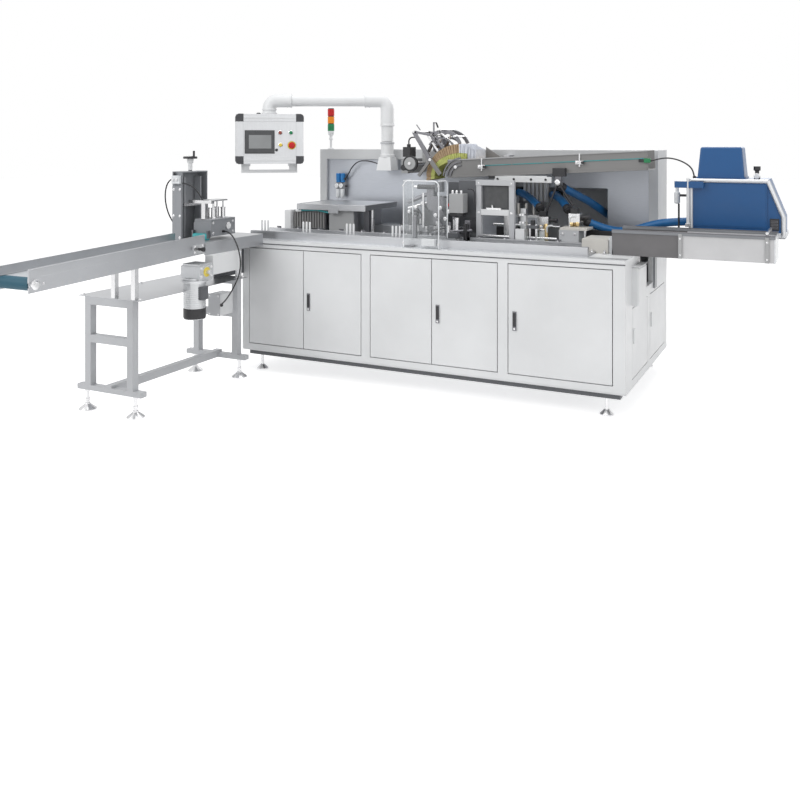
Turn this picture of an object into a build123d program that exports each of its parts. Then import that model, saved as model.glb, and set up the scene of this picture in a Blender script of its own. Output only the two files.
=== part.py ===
"""Tissue box packing machine: a horizontal cartoner with its discharge conveyor.

Millimetres, +Z up. The operator stands on the -Y side. +X runs from the
discharge end to the infeed end. The origin is on the floor, under the middle
of the whole machine.
"""
import math
import os

from build123d import *

os.makedirs("parts", exist_ok=True)

# Cabinet
LEFT = -1507.936          # X of the cabinet's left end
FRONT = 295.582           # Y of the cabinet's front face
CAB_L = 2620.0
CAB_D = 1370.0
CAB_BOTTOM = 133.0      # underside of the cabinet above the floor
CAB_TOP = 895.0         # upper face of the deck
DECK_T = 20.0
PANEL = 30.0            # folded end and back panels
FRAME_D = 40.0          # depth of the front door frame
SILL = 50.0             # frame below the doors
HEAD = 32.0             # frame above the doors
END_POST = 55.0
MID_POST = 62.0
LAST_POST = 70.0
BAY_1 = 879.0           # clear widths of the three bays
BAY_2 = 867.0
PARTITION = 20.0
CAB_ROUND = 18.0

RIGHT = LEFT + CAB_L
BACK = FRONT + CAB_D
INNER_TOP = CAB_TOP - DECK_T
BAY_1_X = LEFT + END_POST
BAY_2_X = BAY_1_X + BAY_1 + MID_POST
BAY_3_X = BAY_2_X + BAY_2 + MID_POST
BAY_3 = RIGHT - LAST_POST - BAY_3_X
DOOR_Z = CAB_BOTTOM + SILL
DOOR_TOP = INNER_TOP - HEAD

# Doors
DOOR_T = 20.0
DOOR_GAP = 5.0
SPLIT_GAP = 6.0         # between the two leaves of one bay
LOCK_W = 28.0
LOCK_H = 122.0
LOCK_T = 6.0
LOCK_Z = 442.0          # underside of the locks
LOCK_IN = 26.0          # lock from the free edge of its door

# Doors and cover on the right end
SIDE_DOOR_TOP = 600.0
SIDE_1_Y = FRONT + 185.0
SIDE_1_W = 470.0
SIDE_2_Y = FRONT + 735.0
SIDE_2_W = 540.0
SIDE_LOCK_H = 90.0
SIDE_LOCK_Z = 385.0
COVER_Y = FRONT + 180.0
COVER_W = 240.0
COVER_Z = 615.0
COVER_H = 220.0
COVER_T = 40.0
NOTCH_W = 420.0
NOTCH_Z = 660.0

# Underframe and levelling feet
FOOT_PAD_R = 40.0
FOOT_PAD_H = 16.0
FOOT_STUD_R = 10.0
FOOT_CONE_R = 16.0
RAIL_W = 60.0
RAIL_H = 30.0
RAIL_IN = 36.0
FLOOR_T = 6.0
FOOT_END = 120.0        # foot axis from the cabinet's end

# Rear housing behind the deck
HOUSING_H = 615.0
HOUSING_D = 340.0
HOUSING_T = 20.0
BORDER_W = 60.0
BORDER_TOP = 76.0
BACK_PANEL_T = 6.0
WINDOW_X = LEFT + 1560.0
WINDOW_W = 720.0
WINDOW_SILL = 12.0
WINDOW_H = 340.0

HOUSING_Y = BACK - HOUSING_D
HOUSING_TOP = CAB_TOP + HOUSING_H
PANEL_Y = HOUSING_Y + HOUSING_T

# Screen arm
POST_X = LEFT + 635.0
POST_Y = FRONT + 960.0
POST_FOOT_Z = 1353.0
POST_SLEEVE_Z = 1453.0
POST_R = 48.0
JOINT_Z = 1567.0        # swivel face between the fixed sleeve and the arm
ARM_R = 38.0
ELBOW_R = 46.0
ARM_Z = 1880.0
ARM_REACH = 894.0
ARM_TURN = 206.1        # plan angle of the arm from +X
SWIVEL_GAP = 1.0

# Screen box
SCREEN_W = 500.0
SCREEN_H = 371.0
SCREEN_D = 120.0
SCREEN_TOP = 1776.0
SCREEN_YAW = 38.0       # plan angle of the screen's width
SCREEN_CORNER = 28.0
FACE_W = 400.0
FACE_H = 290.0
FACE_T = 6.0
GRIP_R = 9.0
GRIP_DROP = 62.0
GRIP_W = 420.0
GRIP_LEG = 30.0

# Signal light
LIGHT_X = LEFT + 64.0
LIGHT_Y = FRONT + 1090.0
LIGHT_R = 26.5
LIGHT_H = 320.0
LIGHT_POLE_R = 11.0
LIGHT_POLE_H = 130.0

# Work table
TABLE_X = LEFT + 175.0
TABLE_Y = FRONT + 420.0
TABLE_W = 560.0
TABLE_D = 500.0
TABLE_TOP = 1120.0
TABLE_T = 26.0

# Carton lane along the front
LANE_X = LEFT + 5.0
LANE_L = 2380.0
LANE_Y = FRONT + 85.0
LANE_W = 250.0
LANE_H = 55.0
LANE_RAIL = 35.0
LANE_BASE = 12.0
PEG_R = 4.0
PEG_H = 92.0
PEG_PITCH = 26.0
PEG_GROUP = 342.0

# Discharge conveyor, square to the machine and rising towards it
CONV_X = LEFT + 170.0   # outer face of the near side plate
CONV_W = 240.0
CONV_Y0 = FRONT - 1957.0
CONV_L = 1337.0
CONV_Z0 = 827.0
CONV_RISE = 2.04        # degrees
CONV_PLATE_H = 73.0
CONV_PLATE_T = 8.0
GUIDE_H = 44.0
GUIDE_T = 6.0
BELT_T = 4.0
ROLLER_R = 26.0
BELT_GAP = 4.0
BELT_SLACK = 1.0
BELT_R = ROLLER_R + BELT_T
BELT_MID = 38.0         # roller axis above the lower edge of the side plates
BED_T = 12.0

# Conveyor stand
STAND_X0 = LEFT - 256.0
STAND_X1 = LEFT + 110.0
STAND_Y0 = FRONT - 1185.0
STAND_Y1 = FRONT - 165.0
LEG = 45.0
STAND_TOP = 664.0
STAND_BASE_Z = 120.0
STAND_BASE_T = 30.0
STAND_BASE_W = 60.0
STAND_OVER = 60.0       # base plates beyond the legs
STAND_BAR_Z = 400.0

# Head frame that joins the conveyor to the cabinet
HEAD_PLATE_T = 10.0
HEAD_Z = 862.0
HEAD_TOP = 940.0
HEAD_BED_T = 8.0
HEAD_GAP = 5.0

# Press tower over the head of the conveyor
TOWER_X = LEFT - 165.0
TOWER_W = 80.0
TOWER_Y = FRONT - 530.0
TOWER_D = 255.0
TOWER_Z = 905.0
TOWER_TOP = 1375.0
TOWER_T = 8.0
WHEEL_R = 45.0
WHEEL_GAP = 1.0
WHEEL_STEM = 80.0

# Blank chute, carton feeder
CHUTE_X = LEFT + 1250.0
CHUTE_L = 1370.0
CHUTE_Y = FRONT + 690.0
CHUTE_W = 250.0
CHUTE_H = 125.0
CHUTE_T = 5.0
CHUTE_Z = 1316.0
CHUTE_RISE = 3.0
BLANK_H = 100.0
BLANK_L = 260.0
BLANK_GAP = 4.0

# Infeed trough
TROUGH_X = LEFT + 2487.0
TROUGH_L = 892.0
TROUGH_Y = FRONT + 255.0
TROUGH_W = 300.0
TROUGH_H = 135.0
TROUGH_T = 6.0

# Glue unit
GLUE_X = LEFT + 2876.0
GLUE_L = 536.0
GLUE_Y = FRONT + 656.0
GLUE_D = 300.0
GLUE_Z = 1000.0
GLUE_H = 340.0
GLUE_CHAMFER = 180.0
TANK_X = LEFT + 2915.0
TANK_L = 272.0
TANK_TOP = 1535.0
SHELF_T = 12.0
GLUE_LEG_Y = COVER_Y + COVER_W + NOTCH_W + 10.0

# Guards on the deck
GUARD_X = LEFT + 1220.0
GUARD_Y = FRONT + 12.0
GUARD_W = 265.0
GUARD_D = 140.0
GUARD_H = 430.0
GUARD_T = 8.0
ARCH_X = LEFT + 1592.0
ARCH_W = 256.0
ARCH_Y = FRONT + 345.0
ARCH_T = 30.0
ARCH_TOP = 1320.0
ARCH_BAR = 34.0


def bar(x, y, z):
    """A plain bar or plate between low and high x, y and z."""
    with Locations(((x[0] + x[1]) / 2, (y[0] + y[1]) / 2, (z[0] + z[1]) / 2)):
        Box(x[1] - x[0], y[1] - y[0], z[1] - z[0])


def foot_profile(x, y, top):
    """Half section of a levelling foot: cone pad, nut and stud."""
    with BuildSketch(Plane.XZ.offset(-y)) as profile:
        with BuildLine():
            Polyline(
                (x, 0),
                (x + FOOT_PAD_R, 0),
                (x + FOOT_PAD_R, FOOT_PAD_H / 2),
                (x + FOOT_CONE_R, FOOT_PAD_H * 2),
                (x + FOOT_STUD_R, FOOT_PAD_H * 2),
                (x + FOOT_STUD_R, top),
                (x, top),
                close=True,
            )
        make_face()
    return profile.sketch


# Underframe: two rails and the floor sheet
with BuildPart() as underframe:
    for rail_y in (FRONT + RAIL_IN, BACK - RAIL_IN - RAIL_W):
        bar((LEFT + RAIL_IN, RIGHT - RAIL_IN), (rail_y, rail_y + RAIL_W),
            (CAB_BOTTOM - RAIL_H, CAB_BOTTOM))
underframe.part.label = "underframe"
export_step(underframe.part, "parts/underframe.step")

with BuildPart() as cabinet_floor:
    bar((LEFT + PANEL, RIGHT - PANEL), (FRONT + FRAME_D, BACK - PANEL),
        (CAB_BOTTOM, CAB_BOTTOM + FLOOR_T))
cabinet_floor.part.label = "cabinet_floor"
export_step(cabinet_floor.part, "parts/cabinet_floor.step")

with BuildPart() as cabinet_feet:
    for foot_x in (LEFT + FOOT_END, RIGHT - FOOT_END):
        for foot_y in (FRONT + RAIL_IN + RAIL_W / 2, BACK - RAIL_IN - RAIL_W / 2):
            revolve(foot_profile(foot_x, foot_y, CAB_BOTTOM - RAIL_H),
                    axis=Axis((foot_x, foot_y, 0), (0, 0, 1)))
cabinet_feet.part.label = "cabinet_feet"
export_step(cabinet_feet.part, "parts/cabinet_feet.step")

# Front frame with its three door openings
with BuildPart() as front_frame:
    bar((LEFT, RIGHT), (FRONT, FRONT + FRAME_D), (CAB_BOTTOM, INNER_TOP))
    for bay_x, bay_w in ((BAY_1_X, BAY_1), (BAY_2_X, BAY_2), (BAY_3_X, BAY_3)):
        with BuildSketch(Plane.XZ.offset(-FRONT)):
            with Locations((bay_x + bay_w / 2, (DOOR_Z + DOOR_TOP) / 2)):
                Rectangle(bay_w, DOOR_TOP - DOOR_Z)
        extrude(amount=-FRAME_D, mode=Mode.SUBTRACT)
    front_edges = front_frame.edges().filter_by_position(Axis.Y, FRONT - 1, FRONT + 1)
    fillet(front_edges.filter_by(Axis.X).sort_by(Axis.Z)[0], CAB_ROUND)
front_frame.part.label = "front_frame"
export_step(front_frame.part, "parts/front_frame.step")

with BuildPart() as left_end:
    bar((LEFT, LEFT + PANEL), (FRONT + FRAME_D, BACK), (CAB_BOTTOM, INNER_TOP))
left_end.part.label = "left_end"
export_step(left_end.part, "parts/left_end.step")

# Right end panel with two door openings and the notch behind the cover
with BuildPart() as right_end:
    bar((RIGHT - PANEL, RIGHT), (FRONT + FRAME_D, BACK), (CAB_BOTTOM, INNER_TOP))
    for side_y, side_w in ((SIDE_1_Y, SIDE_1_W), (SIDE_2_Y, SIDE_2_W)):
        with Locations((RIGHT - PANEL / 2, side_y + side_w / 2, (DOOR_Z + SIDE_DOOR_TOP) / 2)):
            Box(PANEL, side_w, SIDE_DOOR_TOP - DOOR_Z, mode=Mode.SUBTRACT)
    with Locations((RIGHT - PANEL / 2, COVER_Y + COVER_W + NOTCH_W / 2, (NOTCH_Z + INNER_TOP) / 2)):
        Box(PANEL, NOTCH_W, INNER_TOP - NOTCH_Z, mode=Mode.SUBTRACT)
right_end.part.label = "right_end"
export_step(right_end.part, "parts/right_end.step")

with BuildPart() as back_panel:
    bar((LEFT + PANEL, RIGHT - PANEL), (BACK - PANEL, BACK), (CAB_BOTTOM, INNER_TOP))
back_panel.part.label = "back_panel"
export_step(back_panel.part, "parts/back_panel.step")

with BuildPart() as partitions:
    for post_x in (BAY_2_X - MID_POST / 2, BAY_3_X - MID_POST / 2):
        bar((post_x - PARTITION / 2, post_x + PARTITION / 2),
            (FRONT + FRAME_D, BACK - PANEL), (CAB_BOTTOM + FLOOR_T, INNER_TOP))
partitions.part.label = "partitions"
export_step(partitions.part, "parts/partitions.step")

with BuildPart() as deck_plate:
    bar((LEFT, RIGHT), (FRONT, BACK), (INNER_TOP, CAB_TOP))
deck_plate.part.label = "deck_plate"
export_step(deck_plate.part, "parts/deck_plate.step")

with BuildPart() as side_cover:
    bar((RIGHT, RIGHT + COVER_T), (COVER_Y, COVER_Y + COVER_W), (COVER_Z, COVER_Z + COVER_H))
    chamfer(side_cover.faces().sort_by(Axis.X)[-1].edges(), COVER_T / 4)
side_cover.part.label = "side_cover"
export_step(side_cover.part, "parts/side_cover.step")


def front_door(x0, x1, lock_x=None):
    """A flush sheet door in the front frame, with a lock where it has one."""
    with BuildPart() as door:
        bar((x0, x1), (FRONT, FRONT + DOOR_T), (DOOR_Z + DOOR_GAP, DOOR_TOP - DOOR_GAP))
        if lock_x is not None:
            with BuildSketch(Plane.XZ.offset(-FRONT)):
                with Locations((lock_x, LOCK_Z + LOCK_H / 2)):
                    RectangleRounded(LOCK_W, LOCK_H, LOCK_W / 3)
            extrude(amount=LOCK_T)
    return door


BAY_1_SPLIT = BAY_1_X + BAY_1 / 2
BAY_2_SPLIT = BAY_2_X + BAY_2 / 2
LOCK_OFFSET = SPLIT_GAP / 2 + LOCK_IN + LOCK_W / 2
front_doors = {
    "door_1_left": (BAY_1_X + DOOR_GAP, BAY_1_SPLIT - SPLIT_GAP / 2, None),
    "door_1_right": (BAY_1_SPLIT + SPLIT_GAP / 2, BAY_1_X + BAY_1 - DOOR_GAP,
                     BAY_1_SPLIT + LOCK_OFFSET),
    "door_2_left": (BAY_2_X + DOOR_GAP, BAY_2_SPLIT - SPLIT_GAP / 2, None),
    "door_2_right": (BAY_2_SPLIT + SPLIT_GAP / 2, BAY_2_X + BAY_2 - DOOR_GAP,
                     BAY_2_SPLIT + LOCK_OFFSET),
    "door_3": (BAY_3_X + DOOR_GAP, BAY_3_X + BAY_3 - DOOR_GAP,
               BAY_3_X + DOOR_GAP + LOCK_IN + LOCK_W / 2),
}
for door_name, (door_x0, door_x1, door_lock) in front_doors.items():
    door = front_door(door_x0, door_x1, door_lock)
    door.part.label = door_name
    export_step(door.part, f"parts/{door_name}.step")

for door_name, side_y, side_w in (
    ("side_door_front", SIDE_1_Y, SIDE_1_W),
    ("side_door_rear", SIDE_2_Y, SIDE_2_W),
):
    with BuildPart() as side_door:
        bar((RIGHT - DOOR_T, RIGHT), (side_y + DOOR_GAP, side_y + side_w - DOOR_GAP),
            (DOOR_Z + DOOR_GAP, SIDE_DOOR_TOP - DOOR_GAP))
        with BuildSketch(Plane.YZ.offset(RIGHT)):
            with Locations((side_y + DOOR_GAP + LOCK_IN + LOCK_W / 2, SIDE_LOCK_Z + SIDE_LOCK_H / 2)):
                RectangleRounded(LOCK_W, SIDE_LOCK_H, LOCK_W / 3)
        extrude(amount=LOCK_T)
    side_door.part.label = door_name
    export_step(side_door.part, f"parts/{door_name}.step")

# Rear housing: an open-fronted shell with a border, and its stainless panel
with BuildPart() as rear_housing:
    bar((LEFT, RIGHT), (HOUSING_Y, BACK), (CAB_TOP, HOUSING_TOP))
    with Locations(((LEFT + RIGHT) / 2, (PANEL_Y + BACK - HOUSING_T) / 2,
                    (CAB_TOP + HOUSING_TOP - HOUSING_T) / 2)):
        Box(CAB_L - 2 * HOUSING_T, HOUSING_D - 2 * HOUSING_T, HOUSING_H - HOUSING_T,
            mode=Mode.SUBTRACT)
    with Locations(((LEFT + RIGHT) / 2, HOUSING_Y + HOUSING_T / 2,
                    (CAB_TOP + HOUSING_TOP - BORDER_TOP) / 2)):
        Box(CAB_L - 2 * BORDER_W, HOUSING_T, HOUSING_H - BORDER_TOP, mode=Mode.SUBTRACT)
rear_housing.part.label = "rear_housing"
export_step(rear_housing.part, "parts/rear_housing.step")

with BuildPart() as rear_panel:
    bar((LEFT + HOUSING_T, RIGHT - HOUSING_T), (PANEL_Y, PANEL_Y + BACK_PANEL_T),
        (CAB_TOP, HOUSING_TOP - HOUSING_T))
    with Locations((WINDOW_X + WINDOW_W / 2, PANEL_Y + BACK_PANEL_T / 2,
                    CAB_TOP + WINDOW_SILL + WINDOW_H / 2)):
        Box(WINDOW_W, BACK_PANEL_T, WINDOW_H, mode=Mode.SUBTRACT)
rear_panel.part.label = "rear_panel"
export_step(rear_panel.part, "parts/rear_panel.step")

# Arm post: a bracket on the rear panel with the fixed sleeve on it
with BuildPart() as arm_post:
    with BuildSketch(Plane.XY.offset(POST_FOOT_Z)):
        with Locations((POST_X, POST_Y)):
            Rectangle(2.6 * POST_R, 2.6 * POST_R)
    with BuildSketch(Plane.XY.offset(POST_SLEEVE_Z)):
        with Locations((POST_X, POST_Y)):
            Rectangle(2 * POST_R, 2 * POST_R)
    loft()
    bar((POST_X - POST_R, POST_X + POST_R), (POST_Y, PANEL_Y),
        (POST_FOOT_Z, HOUSING_TOP - BORDER_TOP))
    with BuildSketch(Plane.XY.offset(POST_SLEEVE_Z)):
        with Locations((POST_X, POST_Y)):
            Circle(POST_R)
    extrude(amount=JOINT_Z - POST_SLEEVE_Z)
arm_post.part.label = "arm_post"
export_step(arm_post.part, "parts/arm_post.step")

ARM_DIR = (math.cos(math.radians(ARM_TURN)), math.sin(math.radians(ARM_TURN)))
HEAD_X = POST_X + ARM_REACH * ARM_DIR[0]
HEAD_Y = POST_Y + ARM_REACH * ARM_DIR[1]

with BuildPart() as swing_arm:
    with BuildLine():
        FilletPolyline(
            (POST_X, POST_Y, JOINT_Z + SWIVEL_GAP),
            (POST_X, POST_Y, ARM_Z),
            (HEAD_X, HEAD_Y, ARM_Z),
            (HEAD_X, HEAD_Y, SCREEN_TOP + SWIVEL_GAP),
            radius=ELBOW_R,
        )
    with BuildSketch(Plane.XY.offset(JOINT_Z + SWIVEL_GAP)):
        with Locations((POST_X, POST_Y)):
            Circle(ARM_R)
    sweep()
swing_arm.part.label = "swing_arm"
export_step(swing_arm.part, "parts/swing_arm.step")

SCREEN_PLANE = Plane(
    origin=(HEAD_X, HEAD_Y, SCREEN_TOP - SCREEN_H),
    x_dir=(math.cos(math.radians(SCREEN_YAW)), math.sin(math.radians(SCREEN_YAW)), 0),
    z_dir=(0, 0, 1),
)
with BuildPart() as screen_box:
    with BuildSketch(SCREEN_PLANE):
        Rectangle(SCREEN_W, SCREEN_D)
    extrude(amount=SCREEN_H)
    fillet(screen_box.edges().filter_by(Axis.Z), SCREEN_CORNER / 2)
screen_box.part.label = "screen_box"
export_step(screen_box.part, "parts/screen_box.step")

SCREEN_FRONT = Plane(
    origin=SCREEN_PLANE.from_local_coords((0, -SCREEN_D / 2, SCREEN_H / 2)),
    x_dir=SCREEN_PLANE.x_dir,
    z_dir=-SCREEN_PLANE.y_dir,
)
with BuildPart() as screen_face:
    with BuildSketch(SCREEN_FRONT):
        RectangleRounded(FACE_W, FACE_H, 8)
    extrude(amount=FACE_T)
screen_face.part.label = "screen_face"
export_step(screen_face.part, "parts/screen_face.step")

GRIP_PLANE = Plane(
    origin=SCREEN_PLANE.from_local_coords((-GRIP_W / 2, 0, 0)),
    x_dir=SCREEN_PLANE.x_dir,
    z_dir=(0, 0, -1),
)
with BuildPart() as screen_handle:
    for grip_side in (-1, 1):
        with BuildSketch(Plane(origin=SCREEN_PLANE.from_local_coords(
                (grip_side * (GRIP_W / 2 - GRIP_R), 0, 0)),
                x_dir=SCREEN_PLANE.x_dir, z_dir=(0, 0, -1))):
            Circle(GRIP_R)
        extrude(amount=GRIP_DROP)
    with BuildSketch(Plane(origin=SCREEN_PLANE.from_local_coords(
            (-GRIP_W / 2, 0, -GRIP_DROP)),
            x_dir=SCREEN_PLANE.y_dir, z_dir=SCREEN_PLANE.x_dir)):
        Circle(GRIP_R)
    extrude(amount=GRIP_W)
screen_handle.part.label = "screen_handle"
export_step(screen_handle.part, "parts/screen_handle.step")

with BuildPart() as signal_light:
    with BuildSketch(Plane.XY.offset(HOUSING_TOP)):
        with Locations((LIGHT_X, LIGHT_Y)):
            Circle(LIGHT_POLE_R)
    extrude(amount=LIGHT_POLE_H)
    with BuildSketch(Plane.XY.offset(HOUSING_TOP + LIGHT_POLE_H)):
        with Locations((LIGHT_X, LIGHT_Y)):
            Circle(LIGHT_R)
    extrude(amount=LIGHT_H - LIGHT_POLE_H)
signal_light.part.label = "signal_light"
export_step(signal_light.part, "parts/signal_light.step")

with BuildPart() as air_unit:
    bar((LEFT + 150, LEFT + 240), (PANEL_Y - 70, PANEL_Y), (1130, 1330))
air_unit.part.label = "air_unit"
export_step(air_unit.part, "parts/air_unit.step")

# Work table
with BuildPart() as table_top:
    bar((TABLE_X, TABLE_X + TABLE_W), (TABLE_Y, TABLE_Y + TABLE_D),
        (TABLE_TOP - TABLE_T, TABLE_TOP))
table_top.part.label = "table_top"
export_step(table_top.part, "parts/table_top.step")

with BuildPart() as table_base:
    bar((TABLE_X + 250, TABLE_X + 450), (TABLE_Y + 40, TABLE_Y + TABLE_D - 40),
        (CAB_TOP, TABLE_TOP - TABLE_T))
table_base.part.label = "table_base"
export_step(table_base.part, "parts/table_base.step")

# Carton lane: a base with two rails, and the pegs of its chain
with BuildPart() as lane_rails:
    with BuildSketch(Plane.YZ.offset(LANE_X)):
        with BuildLine():
            Polyline(
                (LANE_Y, CAB_TOP),
                (LANE_Y + LANE_W, CAB_TOP),
                (LANE_Y + LANE_W, CAB_TOP + LANE_H),
                (LANE_Y + LANE_W - LANE_RAIL, CAB_TOP + LANE_H),
                (LANE_Y + LANE_W - LANE_RAIL, CAB_TOP + LANE_BASE),
                (LANE_Y + LANE_RAIL, CAB_TOP + LANE_BASE),
                (LANE_Y + LANE_RAIL, CAB_TOP + LANE_H),
                (LANE_Y, CAB_TOP + LANE_H),
                close=True,
            )
        make_face()
    extrude(amount=LANE_L)
lane_rails.part.label = "lane_rails"
export_step(lane_rails.part, "parts/lane_rails.step")

with BuildPart() as lane_chain:
    bar((LANE_X + 30, LANE_X + LANE_L - 30),
        (LANE_Y + LANE_RAIL + 6, LANE_Y + LANE_RAIL + 30),
        (CAB_TOP + LANE_BASE, CAB_TOP + LANE_BASE + 22))
    for group in range(4):
        for peg in range(3):
            with BuildSketch(Plane.XY.offset(CAB_TOP + LANE_BASE + 22)):
                with Locations((LANE_X + 60 + group * PEG_GROUP + peg * PEG_PITCH,
                                LANE_Y + LANE_RAIL + 18)):
                    Circle(PEG_R)
            extrude(amount=PEG_H)
lane_chain.part.label = "lane_chain"
export_step(lane_chain.part, "parts/lane_chain.step")

# Discharge conveyor, built in its own inclined frame
CONV_RAD = math.radians(CONV_RISE)
CONV_PLANE = Plane(origin=(CONV_X - CONV_W, CONV_Y0, CONV_Z0), x_dir=(1, 0, 0),
                   z_dir=(0, -math.sin(CONV_RAD), math.cos(CONV_RAD)))
CONV_SECTION = Plane(origin=CONV_PLANE.origin, x_dir=(1, 0, 0), z_dir=-CONV_PLANE.y_dir)
CONV_SIDE = Plane(origin=CONV_PLANE.origin, x_dir=CONV_PLANE.y_dir, z_dir=(1, 0, 0))
CONV_END_Y = CONV_Y0 + CONV_L * math.cos(CONV_RAD)

with BuildPart() as conveyor_frame:
    with BuildSketch(CONV_SECTION):
        for side_x in (CONV_PLATE_T / 2, CONV_W - CONV_PLATE_T / 2):
            with Locations((side_x, CONV_PLATE_H / 2)):
                Rectangle(CONV_PLATE_T, CONV_PLATE_H)
        with Locations((CONV_W / 2, BELT_MID)):
            Rectangle(CONV_W, BED_T)
    extrude(amount=-CONV_L)
    for roller_v in (BELT_R, CONV_L - BELT_R):
        with BuildSketch(CONV_SIDE):
            with Locations((roller_v, BELT_MID)):
                Rectangle(2 * BELT_R + 4 * BELT_GAP, 2 * BED_T)
        extrude(amount=CONV_W, mode=Mode.SUBTRACT)
        with BuildSketch(CONV_SIDE):
            with Locations((roller_v, BELT_MID)):
                Circle(ROLLER_R)
        extrude(amount=CONV_W)
conveyor_frame.part.label = "conveyor_frame"
export_step(conveyor_frame.part, "parts/conveyor_frame.step")

with BuildPart() as conveyor_belt:
    with BuildSketch(CONV_SIDE.offset(CONV_PLATE_T + BELT_GAP)):
        with Locations((CONV_L / 2, BELT_MID)):
            SlotOverall(CONV_L, 2 * BELT_R)
            SlotOverall(CONV_L - 2 * BELT_T, 2 * ROLLER_R + BELT_SLACK, mode=Mode.SUBTRACT)
    extrude(amount=CONV_W - 2 * (CONV_PLATE_T + BELT_GAP))
conveyor_belt.part.label = "conveyor_belt"
export_step(conveyor_belt.part, "parts/conveyor_belt.step")

with BuildPart() as conveyor_guides:
    with BuildSketch(CONV_SECTION.offset(0)):
        for side_x in (GUIDE_T / 2, CONV_W - GUIDE_T / 2):
            with Locations((side_x, CONV_PLATE_H + GUIDE_H / 2)):
                Rectangle(GUIDE_T, GUIDE_H)
    extrude(amount=-CONV_L)
conveyor_guides.part.label = "conveyor_guides"
export_step(conveyor_guides.part, "parts/conveyor_guides.step")

# Head frame: side plates and bed between the conveyor and the cabinet
with BuildPart() as head_frame:
    for plate_x in (CONV_X - CONV_W, CONV_X - HEAD_PLATE_T):
        bar((plate_x, plate_x + HEAD_PLATE_T), (CONV_END_Y + HEAD_GAP, FRONT),
            (HEAD_Z, HEAD_TOP))
    bar((CONV_X - CONV_W, CONV_X), (CONV_END_Y + HEAD_GAP, FRONT),
        (HEAD_TOP - HEAD_BED_T, HEAD_TOP))
head_frame.part.label = "head_frame"
export_step(head_frame.part, "parts/head_frame.step")

with BuildPart() as head_bracket:
    bar((LEFT, LEFT + HEAD_PLATE_T), (FRONT - 320, FRONT), (STAND_TOP, HEAD_TOP - HEAD_BED_T))
head_bracket.part.label = "head_bracket"
export_step(head_bracket.part, "parts/head_bracket.step")

# Stand under the conveyor
STAND_LEGS = [(x, y) for x in (STAND_X0, STAND_X1 - LEG) for y in (STAND_Y0, STAND_Y1 - LEG)]
with BuildPart() as stand_frame:
    for leg_x, leg_y in STAND_LEGS:
        bar((leg_x, leg_x + LEG), (leg_y, leg_y + LEG), (STAND_BASE_Z, STAND_TOP))
    for rail_y in (STAND_Y0, STAND_Y1 - LEG):
        bar((STAND_X0 - STAND_OVER, STAND_X1 + STAND_OVER), (rail_y, rail_y + LEG),
            (STAND_BASE_Z, STAND_BASE_Z + STAND_BASE_T))
        bar((STAND_X0, STAND_X1), (rail_y, rail_y + LEG), (STAND_BAR_Z, STAND_BAR_Z + LEG))
        bar((STAND_X0, STAND_X1), (rail_y, rail_y + LEG), (STAND_TOP - LEG, STAND_TOP))
    bar(((STAND_X0 + STAND_X1 - LEG) / 2, (STAND_X0 + STAND_X1 + LEG) / 2),
        (STAND_Y0, STAND_Y1), (STAND_BASE_Z, STAND_BASE_Z + LEG))
stand_frame.part.label = "stand_frame"
export_step(stand_frame.part, "parts/stand_frame.step")

with BuildPart() as stand_feet:
    for foot_x in (STAND_X0, STAND_X1):
        for foot_y in (STAND_Y0 + LEG / 2, STAND_Y1 - LEG / 2):
            revolve(foot_profile(foot_x, foot_y, STAND_BASE_Z),
                    axis=Axis((foot_x, foot_y, 0), (0, 0, 1)))
stand_feet.part.label = "stand_feet"
export_step(stand_feet.part, "parts/stand_feet.step")

# Posts that carry the conveyor on the stand
with BuildPart() as stand_posts:
    for post_y in (STAND_Y0 + LEG / 2, STAND_Y1 - LEG / 2):
        low_z = CONV_Z0 + (post_y - CONV_Y0) * math.tan(CONV_RAD)
        for post_x in (CONV_X - CONV_W + LEG / 2, CONV_X - LEG / 2 - LEG):
            if post_y < CONV_END_Y:
                bar((post_x - LEG / 3, post_x + LEG / 3), (post_y - LEG / 3, post_y + LEG / 3),
                    (STAND_TOP, low_z - 1))
            else:
                bar((post_x - LEG / 3, post_x + LEG / 3), (post_y - LEG / 3, post_y + LEG / 3),
                    (STAND_TOP, HEAD_Z))
stand_posts.part.label = "stand_posts"
export_step(stand_posts.part, "parts/stand_posts.step")

with BuildPart() as gearmotor:
    bar((LEFT + 110, LEFT + 240), (FRONT - 760, FRONT - 640), (720, 825))
    with BuildSketch(Plane.XY.offset(490)):
        with Locations((LEFT + 170, FRONT - 720)):
            Circle(65)
    extrude(amount=230)
gearmotor.part.label = "gearmotor"
export_step(gearmotor.part, "parts/gearmotor.step")

with BuildPart() as drive_guard:
    bar((CONV_X, CONV_X + 60), (FRONT - 620, FRONT - 330), (745, 862))
drive_guard.part.label = "drive_guard"
export_step(drive_guard.part, "parts/drive_guard.step")

with BuildPart() as junction_box:
    bar((STAND_X1 - LEG - 80, STAND_X1 - LEG + 10), (STAND_Y1 - LEG - 140, STAND_Y1 - LEG), (430, 570))
junction_box.part.label = "junction_box"
export_step(junction_box.part, "parts/junction_box.step")

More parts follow.
